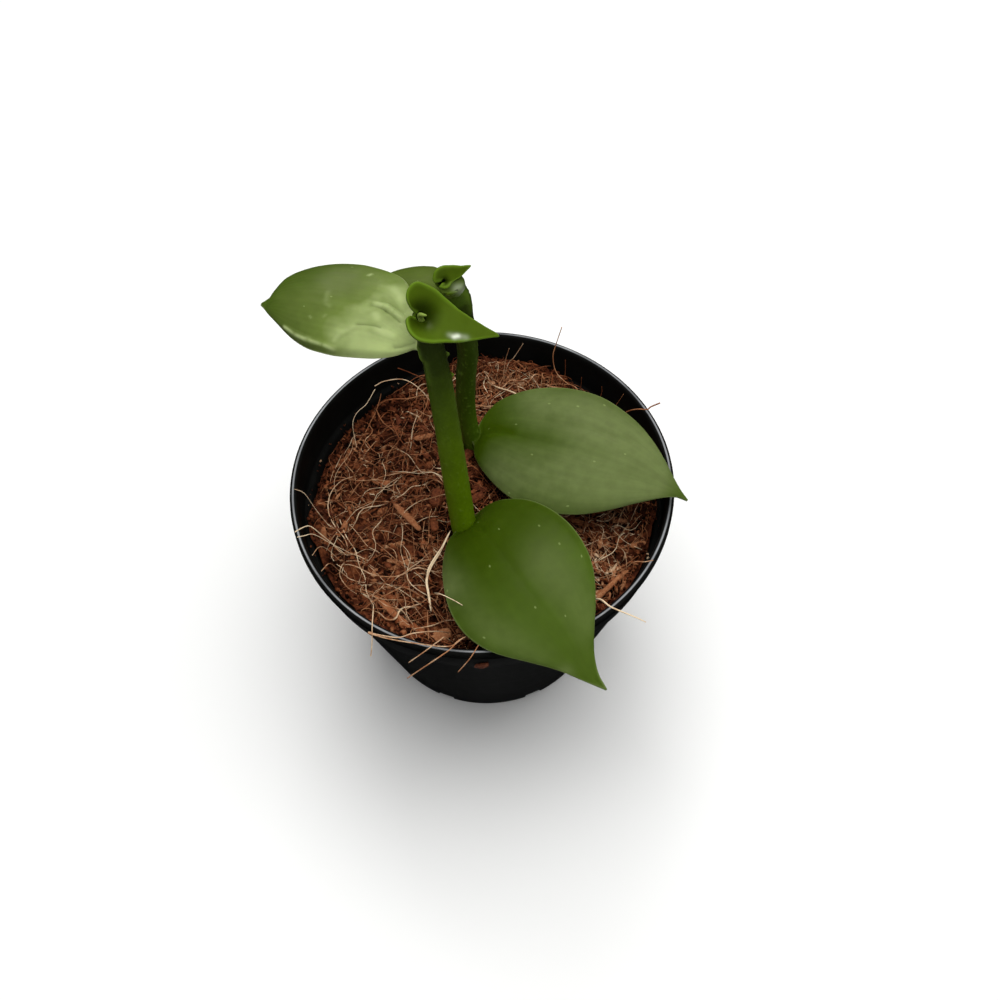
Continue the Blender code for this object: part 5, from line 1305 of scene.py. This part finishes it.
def leaf_skin(name, settings, stops, roughness=0.42, gloss=0.22, margin=0.35, veins=0.03, pores=0.45,
              slant=0.0, highlight_colour=None, sheen_and_shade_colour=None, back=None, rim_width=0.7):
    """Fleshy leaf with a wax cuticle: satin green whose colour follows stops of (share of the length,
    colour) from the stem to the tip. It is clouded over some millimetres, with barely lighter veins that
    run to the tip, a paler margin that is a painted highlight along the rounded edge, a few pale pores and
    an underside of its own colour. margin, veins and pores say how strong these are, and slant moves the
    stops from one side to the other. Painted sheen and shade patches and painted highlights come as
    attributes.
    pale is the colour of the painted highlights on the margin and in the lights, cover that of the painted
    sheen and shade, and back that of the underside. rim_width is the width of the margin's painted
    highlight in millimetres."""
    material, tree = blank_material(name)
    place = add(tree, "ShaderNodeTexCoord").outputs["Object"]
    along, across, edge, top, light, painted_sheen_and_shade, painted_highlight = (
        add(tree, "ShaderNodeAttribute", attribute_name=key).outputs["Fac"]
        for key in ("along", "across", "edge", "top", "light", "painted_sheen_and_shade", "painted_highlight")
    )
    highlight_colour, sheen_and_shade_colour, back = highlight_colour or settings.margin, sheen_and_shade_colour or settings.painted_sheen_and_shade, back or settings.underside
    cloud = add(tree, "ShaderNodeTexNoise", {"Vector": place, "Scale": 1 / (12 * MM), "Detail": 3.0})
    mottle = add(tree, "ShaderNodeTexNoise", {"Vector": place, "Scale": 1 / (3.5 * MM), "Detail": 3.0})
    grain = add(tree, "ShaderNodeTexNoise", {"Vector": place, "Scale": 1 / (0.8 * MM), "Detail": 4.0})
    wander = add(tree, "ShaderNodeMath", {0: cloud, 1: 0.4, 2: along}, operation="MULTIPLY_ADD")
    wander = add(tree, "ShaderNodeMath", {0: across, 1: slant, 2: wander}, operation="MULTIPLY_ADD")
    wander = add(tree, "ShaderNodeMath", {0: wander, 1: 0.2}, operation="SUBTRACT")
    tint = add(tree, "ShaderNodeValToRGB", {"Fac": wander}, stops)
    broken = add(tree, "ShaderNodeMapRange", {"Value": mottle, "From Min": 0.3, "From Max": 0.6,
                                              "To Min": 0.88, "To Max": 1.0})
    # Painted sheen, and a young leaf's painted throat shade, mixed over the colour
    sheen_and_shade_share = add(tree, "ShaderNodeMath", {0: painted_sheen_and_shade, 1: broken}, operation="MULTIPLY", use_clamp=True)
    tint = add(tree, "ShaderNodeMix", {"Factor": sheen_and_shade_share, "A": tint, "B": (*sheen_and_shade_colour, 1.0)}, data_type="RGBA")
    lines = add(tree, "ShaderNodeCombineXYZ", {0: along, 1: across})
    lines = add(tree, "ShaderNodeMapping", {"Vector": lines, "Scale": (1.6, 8.0, 1.0)})
    lines = add(tree, "ShaderNodeTexNoise", {"Vector": lines, "Scale": 1.0, "Detail": 3.0,
                                             "Roughness": 0.6})
    streak = add(tree, "ShaderNodeMapRange", {"Value": lines, "From Min": 0.35, "From Max": 0.65,
                                              "To Min": 1 - veins, "To Max": 1 + veins})
    patch = add(tree, "ShaderNodeMapRange", {"Value": mottle, "From Min": 0.3, "From Max": 0.7,
                                             "To Min": 0.94, "To Max": 1.06})
    both = add(tree, "ShaderNodeMath", {0: streak, 1: patch}, operation="MULTIPLY")
    # Painted shade where the patches are negative
    painted_shade = add(tree, "ShaderNodeMapRange", {"Value": painted_sheen_and_shade, "From Min": -1.0, "From Max": 0.0,
                                           "To Min": 0.45})
    both = add(tree, "ShaderNodeMath", {0: both, 1: painted_shade}, operation="MULTIPLY")
    tint = add(tree, "ShaderNodeVectorMath", {0: tint, 1: both}, operation="MULTIPLY")
    # A painted highlight along the rounded margin
    edge_highlight = add(tree, "ShaderNodeMapRange", {"Value": edge, "From Min": rim_width, "From Max": 0.1,
                                           "To Max": margin}, interpolation_type="SMOOTHSTEP")
    lit = add(tree, "ShaderNodeMath", {0: edge_highlight, 1: light}, operation="MAXIMUM")
    tint = add(tree, "ShaderNodeMix", {"Factor": lit, "A": tint, "B": (*highlight_colour, 1.0)}, data_type="RGBA")
    cells = add(tree, "ShaderNodeCombineXYZ", {0: along, 1: across})
    cells = add(tree, "ShaderNodeMapping", {"Vector": cells, "Scale": (9.0, 3.5, 1.0)})
    cells = add(tree, "ShaderNodeTexVoronoi", {"Vector": cells, "Scale": 1.0}, voronoi_dimensions="2D")
    chosen = add(tree, "ShaderNodeSeparateXYZ", {0: cells.outputs["Color"]})
    chosen = add(tree, "ShaderNodeMath", {0: chosen, 1: 0.8}, operation="GREATER_THAN")
    pore = add(tree, "ShaderNodeMapRange", {"Value": cells, "From Min": 0.055, "From Max": 0.035,
                                            "To Max": pores})
    pore = add(tree, "ShaderNodeMath", {0: pore, 1: chosen}, operation="MULTIPLY")
    tint = add(tree, "ShaderNodeMix", {"Factor": pore, "A": tint, "B": (*settings.margin, 1.0)},
               data_type="RGBA")
    under = add(tree, "ShaderNodeMath", {0: 1.0, 1: top}, operation="SUBTRACT")
    tint = add(tree, "ShaderNodeMix", {"Factor": under, "A": tint, "B": (*back, 1.0)}, data_type="RGBA")
    # Painted highlights: silvery patches on the young leaves, mixed over the colour
    highlight_share = add(tree, "ShaderNodeMath", {0: painted_highlight, 1: broken}, operation="MULTIPLY")
    tint = add(tree, "ShaderNodeMix", {"Factor": highlight_share, "A": tint, "B": (*settings.painted_highlight, 1.0)},
               data_type="RGBA")
    rough = add(tree, "ShaderNodeMapRange", {"Value": mottle, "From Min": 0.3, "From Max": 0.7,
                                             "To Min": roughness - 0.05, "To Max": roughness + 0.06})
    skin = add(tree, "ShaderNodeBump", {"Height": grain, "Strength": 0.15, "Distance": 0.06 * MM})
    shader = add(tree, "ShaderNodeBsdfPrincipled", {
        "Base Color": tint, "Roughness": rough, "Normal": skin, "Specular IOR Level": gloss,
        "Specular Tint": (*settings.wax, 1.0), "Subsurface Weight": 0.06,
        "Subsurface Radius": (0.5 * MM, 1.2 * MM, 0.2 * MM), "Subsurface Scale": 1.0,
    })
    add(tree, "ShaderNodeOutputMaterial", {"Surface": shader})
    return material


def floor_paint():
    """Matt white board: a smooth coat with faint unevenness."""
    material, tree = blank_material("matt_white_board")
    place = add(tree, "ShaderNodeTexCoord").outputs["Object"]
    cloud = add(tree, "ShaderNodeTexNoise", {"Vector": place, "Scale": 4.0})
    tint = add(tree, "ShaderNodeValToRGB", {"Fac": cloud},
               [(0.0, linear("#f4f4f2")), (1.0, linear("#f8f8f6"))])
    shader = add(tree, "ShaderNodeBsdfPrincipled", {
        "Base Color": tint, "Roughness": 0.8, "Specular IOR Level": 0.1,
    })
    add(tree, "ShaderNodeOutputMaterial", {"Surface": shader})
    return material


class AddPot(bpy.types.Operator):
    """Add the nursery pot, with its rolled rim, shoulder, drain holes and slots"""

    bl_idname = "orchid.add_pot"
    bl_label = "Add pot"

    def execute(self, context):
        settings = context.scene.orchid_pot
        section = pot_section()
        points = turned(section, settings.segments)
        round_the_rim = np.arange(settings.segments) * 2 * math.pi / settings.segments
        bend = sum(size * np.sin(waves * round_the_rim + phase) for waves, size, phase in RIM_SWAY)
        share = (points[..., 2:] / POT_HEIGHT) ** 2
        points[..., :2] *= 1 + share * bend[:, None] / RIM_RADIUS
        # Painted highlight on the crest, in patches; dust and a painted floor reflection on the outer wall
        crest_highlight_mask = np.exp(-(((points[..., 2] - POT_HEIGHT) / CREST_HIGHLIGHT_DEPTH) ** 2))
        patchy = np.clip(0.66 + 0.45 * value_noise(points, HIGHLIGHT_AND_DUST_PATCH, HIGHLIGHT_AND_DUST_SEED), 0, 1)
        outside = np.arange(len(section)) > np.argmax([radius for radius, _ in section])
        below_rim = smoothstep(POT_HEIGHT - RIM_DEPTH - points[..., 2], 0, 1) * outside[:, None]
        highlight_and_dust = crest_highlight_mask * patchy + below_rim * settings.dust * (0.8 + 0.4 * patchy)
        piece = put_piece("nursery_pot", points, ring_faces(1, *points.shape[:2]), pot_plastic(settings),
                          "pot", {"highlight_and_dust": highlight_and_dust})
        cut(piece, slot_bars())
        cut(piece, drain_bars())
        return {"FINISHED"}


class AddCoir(bpy.types.Operator):
    """Add the coir bed with its crumbs, fibres, bark chips, stray strands and straws"""

    bl_idname = "orchid.add_coir"
    bl_label = "Add coir and bark"

    def execute(self, context):
        settings = context.scene.orchid_coir
        rng = np.random.default_rng(COIR_SEED)
        pith = coir_finish("coconut_pith", settings, 1.1 * MM, 0.95, 0.8)
        fibre = coir_finish("coconut_fibre", settings, 2.6 * MM, 0.62, 1.0)
        bark = coir_finish("pine_bark", settings, 0.7 * MM, 0.85, 1.0)
        points, tones = coir_bed()
        put_coir("coir_bed", points[None], pith, tones)
        for name, setting, mats, rings, length, rise, free_share, thickness, tone, place in FIBRE_MATS:
            count = getattr(settings, setting) // mats
            paths = lying_strands(rng, count, rings, length, rise, free_share, *place)
            strand_piece(name, rng, paths, settings.strand_radius / MM * thickness, tone, fibre)
        # Crumbs and splinters take the coir's painted light and shade too
        for name, rings, sides, sizes in CRUMB_MATS:
            count = settings.crumbs // len(CRUMB_MATS)
            crumbs = scattered_bars(rng, count, rings, sides, sizes, CRUMB_TILT, CRUMB_LIFT)
            own = rng.normal(*CRUMB_TONE, len(crumbs)).clip(0, CRUMB_LIGHTEST)
            put_coir(name, crumbs, pith, per_bar(own, crumbs) + painted_light_and_shade(crumbs))
        size = SPLINTER_RINGS, SPLINTER_SIDES, SPLINTER_SIZES
        bars = scattered_bars(rng, settings.splinters, *size, SPLINTER_TILT, SPLINTER_LIFT)
        own = rng.normal(*SPLINTER_TONE, len(bars)).clip(0, SPLINTER_LIGHTEST)
        put_coir("bark_chips", bars, bark, per_bar(own, bars) + painted_light_and_shade(bars))
        size = CHIP_RINGS, CHIP_SIDES
        stuck = placed_chips(rng, [WALL_CRUMB], *size, WALL_CRUMB_FACING, WALL_CRUMB_HEIGHT)
        large = np.concatenate([placed_chips(rng, BARK_CHIPS, *size), stuck])
        own = np.array([*BARK_CHIPS, WALL_CRUMB])[:, -1]
        put_coir("bark_chips_large", large, bark, per_bar(own, large))
        self.add_specks(rng, pith)
        self.add_strays(fibre)
        self.add_long_fibres(rng, fibre)
        self.add_straws(fibre)
        return {"FINISHED"}

    def add_specks(self, rng, pith):
        """Specks of pith and grit that lie on the ledge between the coir and the wall."""
        direction, heading = rng.uniform(-180, 180, (2, LEDGE_SPECKS))
        radius = rng.uniform(SOIL_EDGE_RADIUS + 0.7, BAND_FOOT_RADIUS - 0.6, LEDGE_SPECKS)
        sizes = rng.uniform(*SPECK_SIZES, (LEDGE_SPECKS, 1)) * (1.0, 0.7, 0.5)
        tones = rng.choice(SPECK_TONES, LEDGE_SPECKS, p=SPECK_SHARES)
        x, y = radius * np.cos(np.radians(direction)), radius * np.sin(np.radians(direction))
        rows = np.column_stack([x, y, heading, sizes, tones])
        height = SHOULDER_HEIGHT + SPECK_LIFT
        specks = placed_chips(rng, rows, SPECK_RINGS, SPECK_SIDES, height=height)
        put_coir("ledge_specks", specks, pith, per_bar(tones, specks))

    def add_strays(self, fibre):
        """Strands that stand up or hang over the rim, each with a radius that runs from one end's to the
        other's."""
        first, last, tones = np.array([strand[:3] for strand in STRAY_STRANDS]).T
        paths = np.array([polar_path(strand[3], PLACED_STEPS) for strand in STRAY_STRANDS])
        paths[..., 2] = laid_on_coir(paths, STRAY_LIFT)
        steps = np.linspace(0, 1, PLACED_STEPS)
        half = STRAY_THINNING * (first[:, None] + (last - first)[:, None] * steps)
        points = tubes(paths, half, half, PLACED_SIDES)
        put_coir("stray_fibres", points, fibre, per_bar(tones, points))

    def add_long_fibres(self, rng, fibre):
        """Long fibres that lie on top of the coir and sway up and down, thinner at both ends."""
        plans = [np.column_stack([plan, np.zeros(len(plan))]) for _, _, plan in LONG_FIBRES]
        paths = np.array([smooth_path(plan, PLACED_STEPS) for plan in plans])
        turns = np.linspace(0, 2 * math.pi, PLACED_STEPS) * rng.uniform(0.5, 1.5, (len(paths), 1))
        paths[..., 2] = soil_height(paths[..., 0], paths[..., 1]) + LONG_LIFT + LONG_SWAY * np.sin(turns)
        radii, tones = np.array([fibre_row[:2] for fibre_row in LONG_FIBRES]).T
        half = LONG_THINNING * radii[:, None] * (1 - 0.5 * np.abs(np.linspace(-1, 1, PLACED_STEPS)) ** 4)
        points = tubes(paths, half, half, PLACED_SIDES)
        put_coir("long_fibres_on_top", points, fibre, per_bar(tones, points))

    def add_straws(self, fibre):
        """Loose straws: flat bars that narrow at both ends."""
        paths = np.array([smooth_path(straw[0], STRAW_STEPS) for straw in STRAWS])
        ends = np.sqrt(np.clip(1.02 - np.linspace(-1, 1, STRAW_STEPS) ** 6, 0, 1))
        wide, thick, tones = np.array([straw[1:] for straw in STRAWS]).T
        facing = np.tile([0.0, 0.1, 1.0], (len(STRAWS), 1))
        points = tubes(paths, wide[:, None] * ends, thick[:, None] * ends, STRAW_SIDES, facing)
        put_coir("loose_straws", points, fibre, per_bar(tones, points))


class AddStems(bpy.types.Operator):
    """Add both stems, with their warts, nubs and the ridges that run down from the leaves"""

    bl_idname = "orchid.add_stems"
    bl_label = "Add stems"

    def execute(self, context):
        settings = context.scene.orchid_stem
        wart = settings.wart_height / MM
        for name, node, stem, body, crown, lumps, seed in (
            ("stem_front", "front_stem", FRONT, settings.front, settings.shade, FRONT_LUMPS,
             FRONT_STEM_SEED),
            ("stem_back", "back_stem", BACK, settings.back, scaled(settings.back, 1.7), BACK_LUMPS,
             BACK_STEM_SEED),
        ):
            points, values = stem_rings(stem, wart, lumps, seed)
            put_piece(name, points, ring_faces(1, *points.shape[:2]),
                      stem_skin(name + "_skin", settings, body, crown), node, values)
        return {"FINISHED"}


class AddLowerLeaves(bpy.types.Operator):
    """Add the two broad leaves at the feet of the stems"""

    bl_idname = "orchid.add_lower_leaves"
    bl_label = "Add lower leaves"

    def execute(self, context):
        settings = context.scene.orchid_leaf
        size = settings.rows, settings.columns
        base, middle, tip = settings.lower_base, settings.lower_middle, settings.lower_tip
        front = [(0.05, base), (0.3, base), (0.6, middle), (0.95, tip)]
        base, middle, tip = settings.rear_base, settings.rear_middle, settings.rear_tip
        back = [(0.05, base), (0.24, base), (0.46, middle), (0.8, tip), (0.96, base)]
        skin_piece("leaf_lower_front", blade(LOWER_FRONT_LEAF, FRONT, *size),
                   leaf_skin("lower_front_leaf_skin", settings, front), "lower_front_leaf")
        skin_piece("leaf_lower_back", blade(LOWER_BACK_LEAF, BACK, *size),
                   leaf_skin("lower_back_leaf_skin", settings, back, veins=0.06), "lower_back_leaf")
        return {"FINISHED"}


class AddUpperLeaves(bpy.types.Operator):
    """Add the two leaves near the tops of the stems"""

    bl_idname = "orchid.add_upper_leaves"
    bl_label = "Add upper leaves"

    def execute(self, context):
        settings = context.scene.orchid_leaf
        size = settings.rows, settings.columns
        # Painted light: pale near the stem, darkening to the tip, and slant darkens the far side as painted
        # shade
        base, middle, tip = settings.upper_lit_base, settings.upper_middle, settings.upper_tip
        front = [(0.1, base), (0.26, scaled(base, 0.8)), (0.43, middle), (0.62, scaled(middle, 0.72)),
                 (0.9, tip)]
        back = [(0.1, settings.upper_back), (0.9, settings.upper_back)]
        fine = [int(CREASED_DETAIL * number) for number in size]
        skin_piece("leaf_upper_front", blade(UPPER_FRONT_LEAF, FRONT, *fine),
                   leaf_skin("upper_front_leaf_skin", settings, front, 0.36, 0.3, slant=-0.1,
                             highlight_colour=settings.upper_ridge_highlight),
                   "upper_front_leaf")
        skin_piece("leaf_upper_back", blade(UPPER_BACK_LEAF, BACK, *size),
                   leaf_skin("upper_back_leaf_skin", settings, back), "upper_back_leaf")
        return {"FINISHED"}


class AddYoungLeaves(bpy.types.Operator):
    """Add the two young leaves that still wrap their shoots, and the growing tip"""

    bl_idname = "orchid.add_young_leaves"
    bl_label = "Add young leaves"

    def execute(self, context):
        settings = context.scene.orchid_leaf
        young = [(0.0, settings.young), (1.0, settings.young)]
        # The young leaves' margins get a strong painted highlight and their throats a painted shade
        looks = {"roughness": 0.34, "gloss": 0.2, "margin": 0.8, "veins": 0.0, "pores": 0.0,
                 "rim_width": 1.5, "highlight_colour": settings.young_rim_highlight, "sheen_and_shade_colour": settings.young_throat_shade,
                 "back": settings.sheath}
        skin_piece("leaf_young_front", heart(YOUNG_FRONT_LEAF, FRONT),
                   leaf_skin("young_front_leaf_skin", settings, young, **looks),
                   "young_front_leaf")
        skin_piece("leaf_young_back", heart(YOUNG_BACK_LEAF, BACK),
                   leaf_skin("young_back_leaf_skin", settings, young, **looks),
                   "young_back_leaf")
        points, _ = FRONT
        foot = points[-1] - unit(points[-1] - points[-2])
        path = smooth_path(np.vstack([foot, GROWING_TIP_PATH]), GROWING_TIP_RINGS)[None]
        steps = np.linspace(0, 1, GROWING_TIP_RINGS)
        half = GROWING_TIP_RADIUS * np.sqrt(np.clip(1.01 - steps**2.4, 0, 1))[None]
        bud = tubes(path, half, half, GROWING_TIP_SIDES)
        bud += 0.05 * value_noise(bud, 0.9, BUD_SEED)[..., None]
        even = {"edge": 9.0, "top": 1.0, "painted_sheen_and_shade": 0.0, "painted_highlight": 0.0}
        values = {key: np.full(bud.shape[:3], value) for key, value in even.items()}
        values["along"] = np.broadcast_to(steps[:, None], bud.shape[:3])
        tints = [(0.2, settings.young), (0.7, settings.bud)]
        skin = leaf_skin("bud_skin", settings, tints, 0.4, 0.3, margin=0.0, veins=0.0, pores=0.0)
        put_piece("bud", bud, ring_faces(*bud.shape[:3]), skin, "growing_tip", values)
        return {"FINISHED"}


class AddStage(bpy.types.Operator):
    """Add the floor, the soft lights and the camera"""

    bl_idname = "orchid.add_stage"
    bl_label = "Add stage"

    def execute(self, context):
        scene = context.scene
        mesh = bpy.data.meshes.new("studio_floor")
        corners = [(x * FLOOR_HALF, y * FLOOR_HALF, 0) for x, y in ((-1, -1), (1, -1), (1, 1), (-1, 1))]
        mesh.from_pydata(corners, [], [(0, 1, 2, 3)])
        mesh.materials.append(floor_paint())
        floor = bpy.data.objects.new("studio_floor", mesh)
        scene.collection.objects.link(floor)
        floor.visible_glossy = False
        for name, place, size, power in LIGHTS:
            light = bpy.data.lights.new(name, "AREA")
            light.shape = "SQUARE"
            light.size = size
            light.energy = power
            lamp = bpy.data.objects.new(name, light)
            lamp.matrix_world = aimed(place, LIT_POINT)
            lamp.visible_glossy = name == "rear_softbox"
            scene.collection.objects.link(lamp)
        world = bpy.data.worlds.new("soft_room")
        world.use_nodes = True
        room = world.node_tree.nodes["Background"]
        room.inputs["Color"].default_value = (*linear("#f4f5f7"), 1.0)
        room.inputs["Strength"].default_value = ROOM_LIGHT
        world.cycles_visibility.glossy = False
        scene.world = world
        scene.view_settings.view_transform = "Standard"
        add_camera(scene)
        return {"FINISHED"}


def aimed(place, target):
    """The matrix of an object at a place whose -Z axis points at the target."""
    back = unit(np.subtract(place, target))
    right = unit(np.cross((0.0, 0.0, 1.0), back))
    matrix = np.eye(4)
    matrix[:3, :3] = np.stack([right, np.cross(back, right), back], -1)
    matrix[:3, 3] = place
    return Matrix(matrix.tolist())


def add_camera(scene):
    """A camera that looks down by its pitch and whose right and up axes are turned by its roll."""
    pitch, roll = math.radians(CAMERA_PITCH), math.radians(CAMERA_ROLL)
    right = np.array([1.0, 0.0, 0.0])
    up = np.array([0.0, math.sin(pitch), math.cos(pitch)])
    back = np.array([0.0, -math.cos(pitch), math.sin(pitch)])
    matrix = np.eye(4)
    matrix[:3, 0] = right * math.cos(roll) - up * math.sin(roll)
    matrix[:3, 1] = right * math.sin(roll) + up * math.cos(roll)
    matrix[:3, 2] = back
    matrix[:3, 3] = np.array(CAMERA_PLACE) * MM
    data = bpy.data.cameras.new("camera")
    data.lens = CAMERA_LENS
    data.sensor_width = SENSOR_WIDTH
    camera = bpy.data.objects.new("camera", data)
    camera.matrix_world = Matrix(matrix.tolist())
    scene.collection.objects.link(camera)
    scene.camera = camera


OPERATORS = (AddPot, AddCoir, AddStems, AddLowerLeaves, AddUpperLeaves, AddYoungLeaves, AddStage)


class OrchidPanel(bpy.types.Panel):
    """Settings and steps of the potted vanilla orchid"""

    bl_idname = "VIEW3D_PT_orchid"
    bl_label = "Potted vanilla orchid"
    bl_space_type = "VIEW_3D"
    bl_region_type = "UI"
    bl_category = "Orchid"

    def draw(self, context):
        for key, group in SETTINGS.items():
            box = self.layout.box()
            for name in group.__annotations__:
                box.prop(getattr(context.scene, key), name)
        for operator in OPERATORS:
            self.layout.operator(operator.bl_idname)


CLASSES = (*SETTINGS.values(), *OPERATORS, OrchidPanel)


def register():
    """Register the classes and put the settings on the scene."""
    for cls in CLASSES:
        bpy.utils.register_class(cls)
    for key, group in SETTINGS.items():
        setattr(bpy.types.Scene, key, PointerProperty(type=group))


def unregister():
    """Take the settings off the scene and unregister the classes."""
    for key in SETTINGS:
        delattr(bpy.types.Scene, key)
    for cls in reversed(CLASSES):
        bpy.utils.unregister_class(cls)


def main():
    """Build every piece in order."""
    register()
    for operator in OPERATORS:
        group, name = operator.bl_idname.split(".")
        getattr(getattr(bpy.ops, group), name)()


if __name__ == "__main__":
    main()
